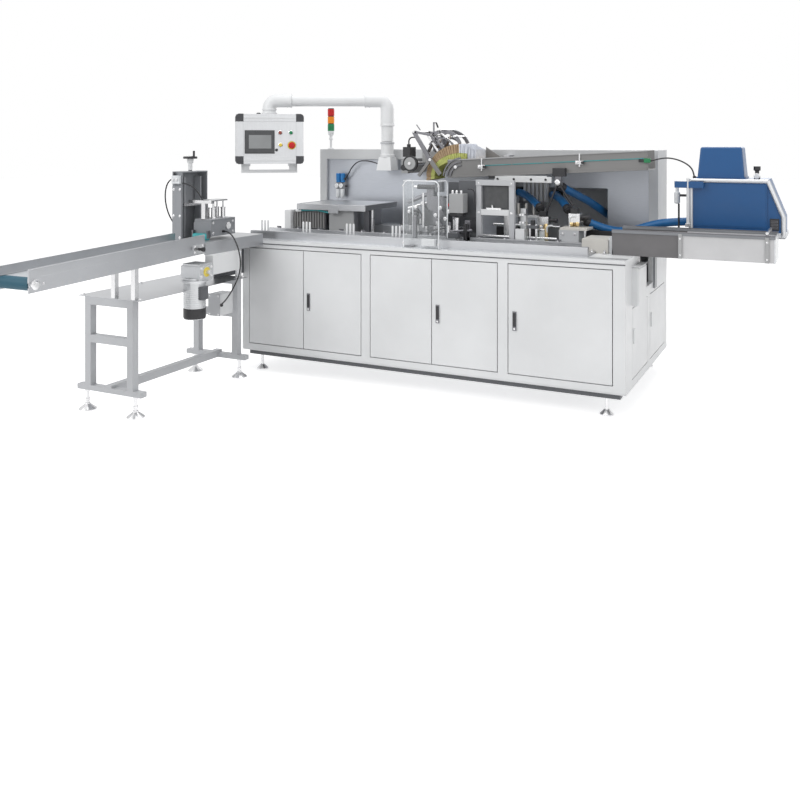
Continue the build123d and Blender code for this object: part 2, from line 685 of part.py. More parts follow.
# Press tower: an open channel with a top plate, beside the head frame
with BuildPart() as tower_frame:
    with BuildSketch(Plane.XY.offset(TOWER_Z)):
        with BuildLine():
            Polyline(
                (TOWER_X, TOWER_Y),
                (TOWER_X + TOWER_W, TOWER_Y),
                (TOWER_X + TOWER_W, TOWER_Y + TOWER_T),
                (TOWER_X + TOWER_T, TOWER_Y + TOWER_T),
                (TOWER_X + TOWER_T, TOWER_Y + TOWER_D - TOWER_T),
                (TOWER_X + TOWER_W, TOWER_Y + TOWER_D - TOWER_T),
                (TOWER_X + TOWER_W, TOWER_Y + TOWER_D),
                (TOWER_X, TOWER_Y + TOWER_D),
                close=True,
            )
        make_face()
    extrude(amount=TOWER_TOP - TOWER_Z)
    bar((TOWER_X, TOWER_X + TOWER_W), (TOWER_Y, TOWER_Y + TOWER_D),
        (TOWER_TOP - TOWER_T, TOWER_TOP))
    bar((TOWER_X, CONV_X - CONV_W), (TOWER_Y, TOWER_Y + TOWER_D),
        (TOWER_Z - TOWER_T, TOWER_Z))
tower_frame.part.label = "tower_frame"
export_step(tower_frame.part, "parts/tower_frame.step")

with BuildPart() as tower_wheel:
    with BuildSketch(Plane.XY.offset(TOWER_TOP + WHEEL_GAP)):
        with Locations((TOWER_X + TOWER_W / 2, TOWER_Y + TOWER_D / 2)):
            Circle(12)
    extrude(amount=WHEEL_STEM)
    with BuildSketch(Plane.XY.offset(TOWER_TOP + WHEEL_GAP + WHEEL_STEM)):
        with Locations((TOWER_X + TOWER_W / 2, TOWER_Y + TOWER_D / 2)):
            Circle(WHEEL_R)
    extrude(amount=14)
tower_wheel.part.label = "tower_wheel"
export_step(tower_wheel.part, "parts/tower_wheel.step")

with BuildPart() as press_head:
    bar((LEFT - 30, LEFT + 100), (FRONT - 475, FRONT - 220), (HEAD_TOP + 20, HEAD_TOP + 125))
press_head.part.label = "press_head"
export_step(press_head.part, "parts/press_head.step")

with BuildPart() as press_bracket:
    bar((TOWER_X + TOWER_W, LEFT + 100), (TOWER_Y + 60, TOWER_Y + 90), (1170, 1190))
    bar((LEFT + 20, LEFT + 50), (TOWER_Y + 60, TOWER_Y + 90), (HEAD_TOP + 125, 1170))
press_bracket.part.label = "press_bracket"
export_step(press_bracket.part, "parts/press_bracket.step")

# Blank chute along the top, rising to the infeed end
CHUTE_RAD = math.radians(CHUTE_RISE)
CHUTE_PLANE = Plane(origin=(CHUTE_X, CHUTE_Y, CHUTE_Z),
                    x_dir=(math.cos(CHUTE_RAD), 0, math.sin(CHUTE_RAD)),
                    z_dir=(-math.sin(CHUTE_RAD), 0, math.cos(CHUTE_RAD)))
CHUTE_SECTION = Plane(origin=CHUTE_PLANE.origin, x_dir=(0, 1, 0), z_dir=CHUTE_PLANE.x_dir)
with BuildPart() as blank_chute:
    with BuildSketch(CHUTE_SECTION):
        for wall_y in (CHUTE_T / 2, CHUTE_W - CHUTE_T / 2):
            with Locations((wall_y, CHUTE_H / 2)):
                Rectangle(CHUTE_T, CHUTE_H)
        with Locations((CHUTE_W / 2, CHUTE_T / 2)):
            Rectangle(CHUTE_W, CHUTE_T)
    extrude(amount=CHUTE_L)
blank_chute.part.label = "blank_chute"
export_step(blank_chute.part, "parts/blank_chute.step")

with BuildPart() as chute_brackets:
    for bracket_u in (CHUTE_L * 0.25, CHUTE_L * 0.8):
        low_z = CHUTE_Z + bracket_u * math.tan(CHUTE_RAD)
        bracket_x = CHUTE_X + bracket_u
        bar((bracket_x - 20, bracket_x + 20), (CHUTE_Y + CHUTE_W, HOUSING_Y),
            (HOUSING_TOP - BORDER_TOP, HOUSING_TOP - BORDER_TOP + 40))
chute_brackets.part.label = "chute_brackets"
export_step(chute_brackets.part, "parts/chute_brackets.step")

with BuildPart() as blank_stack:
    with BuildSketch(CHUTE_SECTION):
        with Locations((CHUTE_W / 2, CHUTE_T + BLANK_H / 2)):
            Rectangle(CHUTE_W - 2 * CHUTE_T - 2 * BLANK_GAP, BLANK_H)
    extrude(amount=BLANK_L)
blank_stack.part.label = "blank_stack"
export_step(blank_stack.part, "parts/blank_stack.step")

with BuildPart() as feeder_head:
    bar((LEFT + 1080, LEFT + 1240), (CHUTE_Y + 20, CHUTE_Y + 230), (1390, 1560))
    bar((LEFT + 1100, LEFT + 1220), (CHUTE_Y + 230, HOUSING_Y), (1440, 1500))
feeder_head.part.label = "feeder_head"
export_step(feeder_head.part, "parts/feeder_head.step")

with BuildPart() as clear_guard:
    bar((GUARD_X, GUARD_X + GUARD_W), (GUARD_Y, GUARD_Y + GUARD_T), (CAB_TOP, CAB_TOP + GUARD_H))
clear_guard.part.label = "clear_guard"
export_step(clear_guard.part, "parts/clear_guard.step")

with BuildPart() as arch_frame:
    bar((ARCH_X, ARCH_X + ARCH_BAR), (ARCH_Y, ARCH_Y + ARCH_T), (CAB_TOP, ARCH_TOP))
    bar((ARCH_X + ARCH_W - ARCH_BAR, ARCH_X + ARCH_W), (ARCH_Y, ARCH_Y + ARCH_T),
        (CAB_TOP, ARCH_TOP))
    bar((ARCH_X, ARCH_X + ARCH_W), (ARCH_Y, ARCH_Y + ARCH_T), (ARCH_TOP - ARCH_BAR, ARCH_TOP))
arch_frame.part.label = "arch_frame"
export_step(arch_frame.part, "parts/arch_frame.step")

# Infeed trough: an open channel on the deck's right end
with BuildPart() as infeed_trough:
    with BuildSketch(Plane.YZ.offset(TROUGH_X)):
        with Locations((TROUGH_Y + TROUGH_T / 2, CAB_TOP + TROUGH_H / 2)):
            Rectangle(TROUGH_T, TROUGH_H)
        with Locations((TROUGH_Y + TROUGH_W - TROUGH_T / 2, CAB_TOP + TROUGH_H / 2)):
            Rectangle(TROUGH_T, TROUGH_H)
        with Locations((TROUGH_Y + TROUGH_W / 2, CAB_TOP + TROUGH_T / 2)):
            Rectangle(TROUGH_W, TROUGH_T)
    extrude(amount=TROUGH_L)
infeed_trough.part.label = "infeed_trough"
export_step(infeed_trough.part, "parts/infeed_trough.step")

# Glue unit on its bracket
with BuildPart() as glue_bracket:
    bar((RIGHT, GLUE_X + GLUE_L), (GLUE_Y + 40, GLUE_Y + GLUE_D - 40),
        (GLUE_Z - SHELF_T, GLUE_Z))
    bar((RIGHT, RIGHT + SHELF_T), (GLUE_LEG_Y, GLUE_Y + GLUE_D - 40),
        (NOTCH_Z - 40, GLUE_Z - SHELF_T))
glue_bracket.part.label = "glue_bracket"
export_step(glue_bracket.part, "parts/glue_bracket.step")

with BuildPart() as glue_unit:
    with BuildSketch(Plane.XZ.offset(-GLUE_Y)):
        with BuildLine():
            Polyline(
                (GLUE_X, GLUE_Z),
                (GLUE_X + GLUE_L, GLUE_Z),
                (GLUE_X + GLUE_L, GLUE_Z + GLUE_H / 3),
                (GLUE_X + GLUE_L - GLUE_CHAMFER / 2, GLUE_Z + GLUE_H),
                (GLUE_X, GLUE_Z + GLUE_H),
                close=True,
            )
        make_face()
    extrude(amount=-GLUE_D)
glue_unit.part.label = "glue_unit"
export_step(glue_unit.part, "parts/glue_unit.step")

with BuildPart() as glue_tank:
    bar((TANK_X, TANK_X + TANK_L), (GLUE_Y + 30, GLUE_Y + GLUE_D - 30),
        (GLUE_Z + GLUE_H, TANK_TOP))
glue_tank.part.label = "glue_tank"
export_step(glue_tank.part, "parts/glue_tank.step")
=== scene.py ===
"""Looks of the tissue box packing machine: finishes, hoses, small fittings and the studio."""
import math

import bmesh
import bpy
from mathutils import Matrix, Vector


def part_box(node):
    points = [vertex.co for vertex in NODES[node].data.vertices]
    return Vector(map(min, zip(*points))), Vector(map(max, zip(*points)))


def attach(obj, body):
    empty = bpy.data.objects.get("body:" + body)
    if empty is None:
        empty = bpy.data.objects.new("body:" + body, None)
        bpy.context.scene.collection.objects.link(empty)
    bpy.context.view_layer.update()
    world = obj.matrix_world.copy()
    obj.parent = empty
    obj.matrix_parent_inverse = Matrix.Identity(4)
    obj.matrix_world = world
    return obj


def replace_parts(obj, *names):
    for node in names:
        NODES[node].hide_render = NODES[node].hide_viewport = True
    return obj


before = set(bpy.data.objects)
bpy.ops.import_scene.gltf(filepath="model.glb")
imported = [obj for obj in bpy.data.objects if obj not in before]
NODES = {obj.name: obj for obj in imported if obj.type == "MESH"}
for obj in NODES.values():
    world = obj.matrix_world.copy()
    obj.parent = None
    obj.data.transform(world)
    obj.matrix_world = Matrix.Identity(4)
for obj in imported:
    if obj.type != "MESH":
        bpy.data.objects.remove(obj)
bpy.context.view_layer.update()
SCENE = bpy.context.scene

# Anchors of the machine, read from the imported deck
DECK_LOW, DECK_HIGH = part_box("deck_plate")
LEFT, FRONT = DECK_LOW[0], DECK_LOW[1]
RIGHT, BACK = DECK_HIGH[0], DECK_HIGH[1]
CORNER = (LEFT, FRONT, 0.0)      # the cabinet's left front corner on the floor
DECK = 895                       # height of the deck in millimetres

UP = Vector((0, 0, 1))
NORTH = Vector((0, 1, 0))
SOUTH = Vector((0, -1, 0))
EAST = Vector((1, 0, 0))
WEST = Vector((-1, 0, 0))

# Camera at the photograph's angle
EYE = (3.666, -5.01, 1.555)      # metres from the corner
CAMERA_TURN = 26.1               # degrees
FOCAL_PIXELS = 884.0
HORIZON_PIXEL = 143.6
IMAGE_PIXELS = 800.0
SENSOR = 36.0

AMBIENT = 0.53                   # world light on the object
FLOOR_LIFT = 0.58                # lifts the lit floor to white for the camera
FLOOR_SIZE = 60.0
EDGE_ROUND = 0.0025
CLOUD_LOW, CLOUD_HIGH = 0.3, 0.7


def add_camera():
    """The photograph's view, with the horizon above the middle of the frame."""
    data = bpy.data.cameras.new("camera")
    data.sensor_width = SENSOR
    data.lens = FOCAL_PIXELS / IMAGE_PIXELS * SENSOR
    data.shift_y = -(IMAGE_PIXELS / 2 - HORIZON_PIXEL) / IMAGE_PIXELS
    camera = bpy.data.objects.new("camera", data)
    camera.location = (LEFT + EYE[0], FRONT + EYE[1], EYE[2])
    camera.rotation_euler = (math.radians(90), 0, math.radians(CAMERA_TURN))
    SCENE.collection.objects.link(camera)
    SCENE.camera = camera


def add_lamp(name, place, aim, size, power):
    """A soft square lamp that points at a place."""
    data = bpy.data.lights.new(name, "AREA")
    data.size = size
    data.energy = power
    lamp = bpy.data.objects.new(name, data)
    lamp.location = place
    lamp.rotation_euler = (Vector(aim) - Vector(place)).to_track_quat("-Z", "Y").to_euler()
    SCENE.collection.objects.link(lamp)


def white_for_camera(nodes, links, lit, plain):
    """Mixes in a plain white for camera, glossy and transmission rays."""
    path = nodes.new("ShaderNodeLightPath")
    seen = path.outputs["Is Camera Ray"]
    for ray in ("Is Glossy Ray", "Is Transmission Ray"):
        either = nodes.new("ShaderNodeMath")
        either.operation = "MAXIMUM"
        links.new(seen, either.inputs[0])
        links.new(path.outputs[ray], either.inputs[1])
        seen = either.outputs[0]
    mix = nodes.new("ShaderNodeMixShader")
    for number, output in enumerate((seen, lit.outputs[0], plain.outputs[0])):
        links.new(output, mix.inputs[number])
    return mix


def add_world():
    """A white world that lights the object softly."""
    world = bpy.data.worlds.new("studio")
    SCENE.world = world
    world.use_nodes = True
    nodes, links = world.node_tree.nodes, world.node_tree.links
    lit = nodes["Background"]
    plain = nodes.new("ShaderNodeBackground")
    for background, strength in ((lit, AMBIENT), (plain, 1.0)):
        background.inputs[0].default_value = (1.0, 1.0, 1.0, 1.0)
        background.inputs[1].default_value = strength
    links.new(white_for_camera(nodes, links, lit, plain).outputs[0],
              nodes["World Output"].inputs[0])


class Look:
    """A material in the making."""

    def __init__(self, name, color, roughness, metallic=0.0):
        self.material = bpy.data.materials.new(name)
        self.material.use_nodes = True
        self.material.diffuse_color = (*color, 1.0)
        self.nodes = self.material.node_tree.nodes
        self.links = self.material.node_tree.links
        self.shader = self.nodes["Principled BSDF"]
        self.put("Base Color", (*color, 1.0))
        self.put("Roughness", roughness)
        self.put("Metallic", metallic)

    def put(self, socket, value):
        """A plain value for a socket of the shader."""
        self.shader.inputs[socket].default_value = value

    def join(self, socket, output):
        """An output for a socket of the shader."""
        self.links.new(output, self.shader.inputs[socket])

    def where(self, stretch=(1.0, 1.0, 1.0)):
        """Object coordinates in metres, stretched along the axes."""
        mapping = self.nodes.new("ShaderNodeMapping")
        mapping.inputs["Scale"].default_value = stretch
        self.links.new(self.nodes.new("ShaderNodeTexCoord").outputs["Object"],
                       mapping.inputs["Vector"])
        return mapping.outputs[0]

    def noise(self, vector, scale, detail=3.0):
        """Noise of a given number of cells a metre."""
        texture = self.nodes.new("ShaderNodeTexNoise")
        texture.inputs["Scale"].default_value = scale
        texture.inputs["Detail"].default_value = detail
        self.links.new(vector, texture.inputs["Vector"])
        return texture.outputs["Fac"]

    def ramp(self, factor, low, high):
        """A colour ramp between two colours."""
        node = self.nodes.new("ShaderNodeValToRGB")
        for element, place, color in zip(node.color_ramp.elements, (CLOUD_LOW, CLOUD_HIGH),
                                         (low, high)):
            element.position = place
            element.color = (*color, 1.0)
        self.links.new(factor, node.inputs[0])
        return node.outputs[0]

    def cloud(self, color, low, high, factor):
        """A colour that varies between a darker and a lighter one."""
        return self.ramp(factor, tint(color, low), tint(color, high))

    def rough(self, factor, low, high):
        """Roughness that varies between two values."""
        self.join("Roughness", self.ramp(factor, (low,) * 3, (high,) * 3))

    def blend(self, first, second):
        """A colour mix and its node."""
        node = self.nodes.new("ShaderNodeMix")
        node.data_type = "RGBA"
        self.links.new(first, node.inputs[6])
        self.links.new(second, node.inputs[7])
        self.join("Base Color", node.outputs[2])
        return node

    def bump(self, height, strength, distance):
        """Bump from a height, over softly rounded edges."""
        edge = self.nodes.new("ShaderNodeBevel")
        edge.samples = 4
        edge.inputs["Radius"].default_value = EDGE_ROUND
        bump = self.nodes.new("ShaderNodeBump")
        bump.inputs["Strength"].default_value = strength
        bump.inputs["Distance"].default_value = distance
        self.links.new(height, bump.inputs["Height"])
        self.links.new(edge.outputs[0], bump.inputs["Normal"])
        self.join("Normal", bump.outputs[0])


def tint(color, factor):
    """A colour made lighter or darker."""
    return tuple(min(1.0, channel * factor) for channel in color)


def paint(name, color, roughness=0.38, spread=0.05, peel=0.06):
    """Sprayed paint: a faint cloud in the colour, and orange peel."""
    look = Look(name, color, roughness)
    where = look.where()
    look.join("Base Color", look.cloud(color, 1 - spread, 1 + spread, look.noise(where, 2.2, 4.0)))
    look.rough(look.noise(where, 14.0, 5.0), roughness - 0.05, roughness + 0.08)
    look.bump(look.noise(where, 420.0, 2.0), peel, 0.0004)
    look.put("Coat Weight", 0.12)
    look.put("Coat Roughness", 0.25)
    return look.material


def brushed(name, color, along=(1.0, 60.0, 60.0), roughness=0.36, spread=0.10):
    """Brushed metal with its grain along one axis."""
    look = Look(name, color, roughness, 1.0)
    grain = look.noise(look.where(along), 16.0, 6.0)
    base = look.cloud(color, 1 - spread, 1 + spread / 2, look.noise(look.where(), 1.6, 3.0))
    blend = look.blend(base, look.ramp(grain, (0.86,) * 3, (1.0,) * 3))
    blend.blend_type = "MULTIPLY"
    blend.inputs[0].default_value = 1.0
    look.rough(grain, roughness - 0.08, roughness + 0.10)
    look.bump(grain, 0.08, 0.0003)
    return look.material


def moulded(name, color, roughness=0.45, grain=700.0, strength=0.15):
    """Moulded plastic or rubber with a fine grain."""
    look = Look(name, color, roughness)
    where = look.where()
    look.join("Base Color", look.cloud(color, 0.88, 1.1, look.noise(where, 30.0, 3.0)))
    look.bump(look.noise(where, grain, 2.0), strength, 0.0003)
    return look.material


def clear_sheet(name, color):
    """Clear acrylic sheet with faint scratches."""
    look = Look(name, color, 0.04)
    look.put("Transmission Weight", 0.0)
    look.put("Alpha", 0.09)
    look.rough(look.noise(look.where((1.0, 1.0, 12.0)), 60.0), 0.03, 0.14)
    return look.material


def parted(name, low_color, high_color, axis, border, roughness=0.4):
    """Two finishes on one piece, that meet at a place along an axis in metres."""
    look = Look(name, low_color, roughness)
    where = look.where()
    split = look.nodes.new("ShaderNodeSeparateXYZ")
    look.links.new(where, split.inputs[0])
    beyond = look.nodes.new("ShaderNodeMath")
    beyond.operation = "GREATER_THAN"
    beyond.inputs[1].default_value = border
    look.links.new(split.outputs[axis], beyond.inputs[0])
    factor = look.noise(where, 6.0, 4.0)
    blend = look.blend(look.cloud(low_color, 0.9, 1.1, factor),
                       look.cloud(high_color, 0.95, 1.05, factor))
    look.links.new(beyond.outputs[0], blend.inputs[0])
    look.bump(look.noise(where, 380.0, 2.0), 0.06, 0.0004)
    return look.material


def glowing_lens(name, color):
    """Ribbed coloured plastic that glows faintly in its own colour: a painted glow, on the signal
    lamps and on buttons alike.
    """
    look = Look(name, color, 0.42)
    rings = look.noise(look.where((1.0, 1.0, 90.0)), 4.0, 1.0)
    look.join("Base Color", look.cloud(color, 0.75, 1.15, rings))
    # Painted glow: the lens colour glows whether or not a lamp is behind it.
    look.put("Emission Color", (*color, 1.0))
    look.put("Emission Strength", 0.10)
    return look.material


def add_floor():
    """A pale floor that keeps the object's shadow."""
    bpy.ops.mesh.primitive_plane_add(size=FLOOR_SIZE)
    floor = bpy.context.object
    floor.name = "studio_floor"
    look = Look("studio_floor", (0.86, 0.86, 0.86), 0.9)
    glow = look.nodes.new("ShaderNodeEmission")
    glow.inputs[1].default_value = FLOOR_LIFT
    lifted = look.nodes.new("ShaderNodeAddShader")
    look.links.new(look.shader.outputs[0], lifted.inputs[0])
    look.links.new(glow.outputs[0], lifted.inputs[1])
    mix = white_for_camera(look.nodes, look.links, look.shader, lifted)
    look.links.new(mix.outputs[0], look.nodes["Material Output"].inputs[0])
    floor.data.materials.append(look.material)


UPRIGHT = (30.0, 30.0, 1.0)      # grain of rods and sheets that stand

MATERIALS = {
    "white": paint("white_paint", (0.78, 0.79, 0.80)),
    "grey": paint("grey_paint", (0.30, 0.31, 0.33), 0.42),
    "light_grey": paint("light_grey_paint", (0.52, 0.53, 0.55), 0.42),
    "dark": paint("dark_paint", (0.10, 0.105, 0.115), 0.45),
    "blue": paint("blue_paint", (0.007, 0.082, 0.245), 0.33),
    "chute_grey": paint("chute_paint", (0.235, 0.232, 0.230), 0.40),
    "tower_grey": paint("tower_paint", (0.235, 0.245, 0.262), 0.42),
    "pale_grey": paint("pale_grey_paint", (0.60, 0.61, 0.62), 0.40),
    "housing_grey": paint("housing_paint", (0.40, 0.405, 0.41), 0.40),
    "cream": paint("cream_paint", (0.66, 0.64, 0.60), 0.4),
    "display": paint("display_film", (0.30, 0.31, 0.315), 0.12, 0.16, 0.0),
    "steel": brushed("stainless", (0.56, 0.57, 0.59)),
    "bright": brushed("bright_steel", (0.78, 0.78, 0.79), UPRIGHT, 0.24),
    "panel": brushed("rear_stainless", (0.46, 0.48, 0.52), (1.0, 40.0, 40.0), 0.42),
    "alu": brushed("aluminium", (0.66, 0.67, 0.68), UPRIGHT, 0.40),
    "silver": brushed("silver_sheet", (0.66, 0.67, 0.685), (60.0, 60.0, 1.0), 0.42, 0.04),
    "brass": brushed("brass", (0.72, 0.56, 0.30), UPRIGHT, 0.3),
    "dark_steel": brushed("dark_steel", (0.20, 0.20, 0.215), UPRIGHT, 0.36),
    "black": moulded("black_plastic", (0.022, 0.022, 0.025)),
    "hose": moulded("blue_hose", (0.012, 0.135, 0.36), 0.36),
    "carton": moulded("carton", (0.60, 0.47, 0.30), 0.8, 220.0),
    "bezel": moulded("bezel_plastic", (0.070, 0.072, 0.076), 0.4),
    "cap": moulded("cap_plastic", (0.055, 0.056, 0.062), 0.5),
    "yellow": moulded("yellow_plastic", (0.78, 0.62, 0.08), 0.4),
    "brown": moulded("brown_plastic", (0.26, 0.06, 0.04), 0.4),
    "teal": moulded("teal_rubber", (0.05, 0.34, 0.36), 0.5),
    "green_belt": moulded("green_belt", (0.015, 0.20, 0.075), 0.5, 300.0),
    "board": moulded("board", (0.46, 0.33, 0.20), 0.8, 260.0),
    "lime": moulded("lime_board", (0.58, 0.62, 0.20), 0.8, 260.0),
    "pale": moulded("pale_board", (0.72, 0.75, 0.82), 0.7, 260.0),
    "edge": moulded("sheet_edge", (0.80, 0.82, 0.84), 0.2),
    "knob": moulded("knob_plastic", (0.02, 0.20, 0.52), 0.4),
    "red": glowing_lens("red_lens", (0.50, 0.004, 0.006)),
    "amber": glowing_lens("amber_lens", (0.80, 0.24, 0.006)),
    "green": glowing_lens("green_lens", (0.004, 0.20, 0.07)),
    "clear": clear_sheet("clear_sheet", (0.88, 0.92, 0.94)),
    "light_belt": parted("light_belt", (0.012, 0.085, 0.13), (0.50, 0.52, 0.54), 1,
                         FRONT - 1.905, 0.6),
    "chain": parted("chain_and_pegs", (0.07, 0.072, 0.078), (0.80, 0.80, 0.81), 2, 0.930),
    "trough": parted("trough_sheets", (0.150, 0.146, 0.150), (0.62, 0.62, 0.63), 0,
                     LEFT + 2.876),
}

# CAD nodes by finish; the others are white
FINISHED = {
    "dark": ("underframe", "head_bracket"),
    "steel": ("cabinet_floor", "table_top", "table_base", "lane_rails", "conveyor_frame",
              "conveyor_guides", "head_frame", "chute_brackets"),
    "bright": ("cabinet_feet", "stand_feet", "stand_posts", "press_bracket"),
    "panel": ("rear_panel",),
    "alu": ("screen_box", "gearmotor"),
    "silver": ("screen_face",),
    "chain": ("lane_chain",),
    "light_belt": ("conveyor_belt",),
    "light_grey": ("stand_frame", "arch_frame"),
    "tower_grey": ("tower_frame", "press_head"),
    "black": ("tower_wheel",),
    "chute_grey": ("blank_chute",),
    "carton": ("blank_stack",),
    "trough": ("infeed_trough",),
    "grey": ("glue_bracket",),
    "blue": ("glue_unit",),
    "pale_grey": ("rear_housing",),
}


def dress(node, finish):
    """Gives a CAD node its finish."""
    holder = NODES[node]
    if holder.material_slots:
        holder.material_slots[0].material = MATERIALS[finish]
    else:
        holder.data.materials.append(MATERIALS[finish])


def at(x, y, z, corner=CORNER):
    """A place in millimetres from a corner."""
    return Vector((corner[0] + x / 1000, corner[1] + y / 1000, corner[2] + z / 1000))


def bend(corner, into, out, radius, steps=12):
    """Points of a quarter bend at a corner, from one direction to another, in metres."""
    middle = Vector(corner) + (out - into) * radius
    angles = (math.pi / 2 * step / steps for step in range(steps + 1))
    return [middle + radius * (into * math.sin(angle) - out * math.cos(angle))
            for angle in angles]


def turns(sides):
    """Angles of the corners of a round form."""
    return [2 * math.pi * side / sides for side in range(sides)]


class Piece:
    """A mesh put together in millimetres from a corner; a vector in metres stays as it is."""

    def __init__(self, name, slot, body="root", corner=CORNER):
        self.name, self.slot, self.body, self.corner = name, slot, body, corner
        self.mesh = bmesh.new()
        self.finishes = []

    def spot(self, place):
        """A place as a vector in metres."""
        return place if isinstance(place, Vector) else at(*place, self.corner)

    def skin(self, rings, finish, smooth=False):
        """Faces between rings of points, and over both ends."""
        if finish not in self.finishes:
            self.finishes.append(finish)
        rings = [[self.mesh.verts.new(point) for point in ring] for ring in rings]
        faces = [self.mesh.faces.new(rings[0][::-1]), self.mesh.faces.new(rings[-1])]
        count = len(rings[0])
        for first, second in zip(rings, rings[1:]):
            for side in range(count):
                after = (side + 1) % count
                faces.append(self.mesh.faces.new((first[side], first[after], second[after],
                                                  second[side])))
                faces[-1].smooth = smooth
        for face in faces:
            face.material_index = self.finishes.index(finish)

    def prism(self, outline, move, finish):
        """A flat outline drawn out along a vector."""
        low = [self.spot(point) for point in outline]
        self.skin((low, [point + Vector(move) / 1000 for point in low]), finish)

    def boxes(self, finish, *sizes):
        """Boxes between low and high x, low and high y, and low and high z."""
        for left, right, front, back, low, high in sizes:
            self.skin([[self.spot((x, y, z)) for x, y in (
                (left, front), (right, front), (right, back), (left, back))]
                for z in (low, high)], finish)

    def turned(self, start, axis, profile, finish, sides=24):
        """A round form: radii and distances along an axis from a start."""
        start = self.spot(start)
        turn = Vector(axis).normalized().to_track_quat("Z", "X").to_matrix()
        self.skin([[start + turn @ Vector((radius * math.cos(angle) / 1000,
                                           radius * math.sin(angle) / 1000, along / 1000))
                    for angle in turns(sides)] for radius, along in profile], finish, sides > 8)

    def rods(self, finish, *runs, sides=16):
        """Round rods: start, end and radius."""
        for start, end, radius in runs:
            along = self.spot(end) - self.spot(start)
            self.turned(start, along, ((radius, 0), (radius, along.length * 1000)), finish, sides)

    def posts(self, finish, *runs):
        """Upright rods: x, y, low and high z, and radius."""
        self.rods(finish, *[((x, y, low), (x, y, high), radius)
                            for x, y, low, high, radius in runs])

    def bolts(self, axis, radius, *places):
        """Hexagon heads on washers."""
        for place in places:
            self.turned(place, axis, ((radius * 1.5, 0), (radius * 1.5, radius * 0.25)),
                        "bright", 16)
            self.turned(self.spot(place) + axis * radius * 0.25 / 1000, axis,
                        ((radius, 0), (radius, radius * 0.7), (radius * 0.8, radius * 0.85)),
                        "bright", 6)

    def links(self, finish, y, *runs):
        """Flat struts between two y: x and z of both ends, and width."""
        for start, end, width in runs:
            low, high = self.spot((start[0], y[0], start[1])), self.spot((end[0], y[0], end[1]))
            side = Vector((low.z - high.z, 0, high.x - low.x)).normalized() * width / 2000
            self.prism((low - side, high - side, high + side, low + side), (0, y[1] - y[0], 0),
                       finish)

    def arc(self, middle, radius, width, angles, y, finish, steps=18):
        """A flat curved plate between two y."""
        span = math.radians(angles[1] - angles[0]) / steps
        for step in range(steps):
            start = math.radians(angles[0]) + step * span
            self.prism([(middle[0] + reach * math.cos(angle), y[0],
                         middle[1] + reach * math.sin(angle)) for reach, angle in (
                (radius, start), (radius - width, start), (radius - width, start + span),
                (radius, start + span))], (0, y[1] - y[0], 0), finish)

    def tube(self, points, normal, radius, finish, sides=20):
        """A tube along points in a plane with a given normal."""
        rings = []
        for number, place in enumerate(points):
            run = points[min(number + 1, len(points) - 1)] - points[max(number - 1, 0)]
            side = run.cross(normal).normalized()
            rings.append([place + radius / 1000 * (math.cos(angle) * normal
                                                   + math.sin(angle) * side)
                          for angle in turns(sides)])
        self.skin(rings, finish, True)

    def pipe(self, foot, heights, way, reach, turn, radius, finish):
        """A thin tube that rises from a foot and bends over one way."""
        low, high = at(*foot, heights[0]), at(*foot, heights[1])
        self.tube([low] + bend(high, UP, way, turn / 1000, 8) + [high + way * reach / 1000],
                  NORTH, radius, finish, 12)

    def done(self, bevel=1.2):
        """Makes the object, softens its edges and lets it ride."""
        bmesh.ops.recalc_face_normals(self.mesh, faces=self.mesh.faces[:])
        data = bpy.data.meshes.new(self.name)
        self.mesh.to_mesh(data)
        self.mesh.free()
        piece = bpy.data.objects.new(self.name, data)
        SCENE.collection.objects.link(piece)
        for finish in self.finishes:
            data.materials.append(MATERIALS[finish])
        soften = piece.modifiers.new("soften", "BEVEL")
        soften.width = bevel / 1000
        soften.segments = 2
        soften.limit_method = "ANGLE"
        soften.harden_normals = True
        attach(piece, self.body)
        return piece


def add_fitting(name, route):
    """The black coupling that a hose ends in."""
    piece = Piece(name + "_fitting", "black_plastic")
    end = at(*route[-1])
    way = (end - at(*route[-2])).normalized()
    piece.turned(end - way * 0.012, way,
                 ((28.5, 0), (29.5, 6), (29.5, 30), (20, 34), (20, 62)), "black")
    return piece.done()


def add_cord(name, finish, radius, route, fitting=False):
    """A free hose or cable on one smooth curve, from its exit to the object or a fitting."""
    data = bpy.data.curves.new(name, "CURVE")
    data.dimensions = "3D"
    data.bevel_depth = radius / 1000
    data.bevel_resolution = 6
    data.resolution_u = 14
    data.use_fill_caps = True
    spline = data.splines.new("NURBS")
    spline.points.add(len(route) - 1)
    for point, place in zip(spline.points, route):
        point.co = (*at(*place), 1.0)
    spline.order_u = 3
    spline.use_endpoint_u = True
    data.materials.append(MATERIALS[finish])
    piece = bpy.data.objects.new(name, data)
    SCENE.collection.objects.link(piece)
    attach(piece, "root")
    ends = [add_fitting(name, route)] if fitting else []


HOSE_R = 26.0
CABLE_R = 4.5

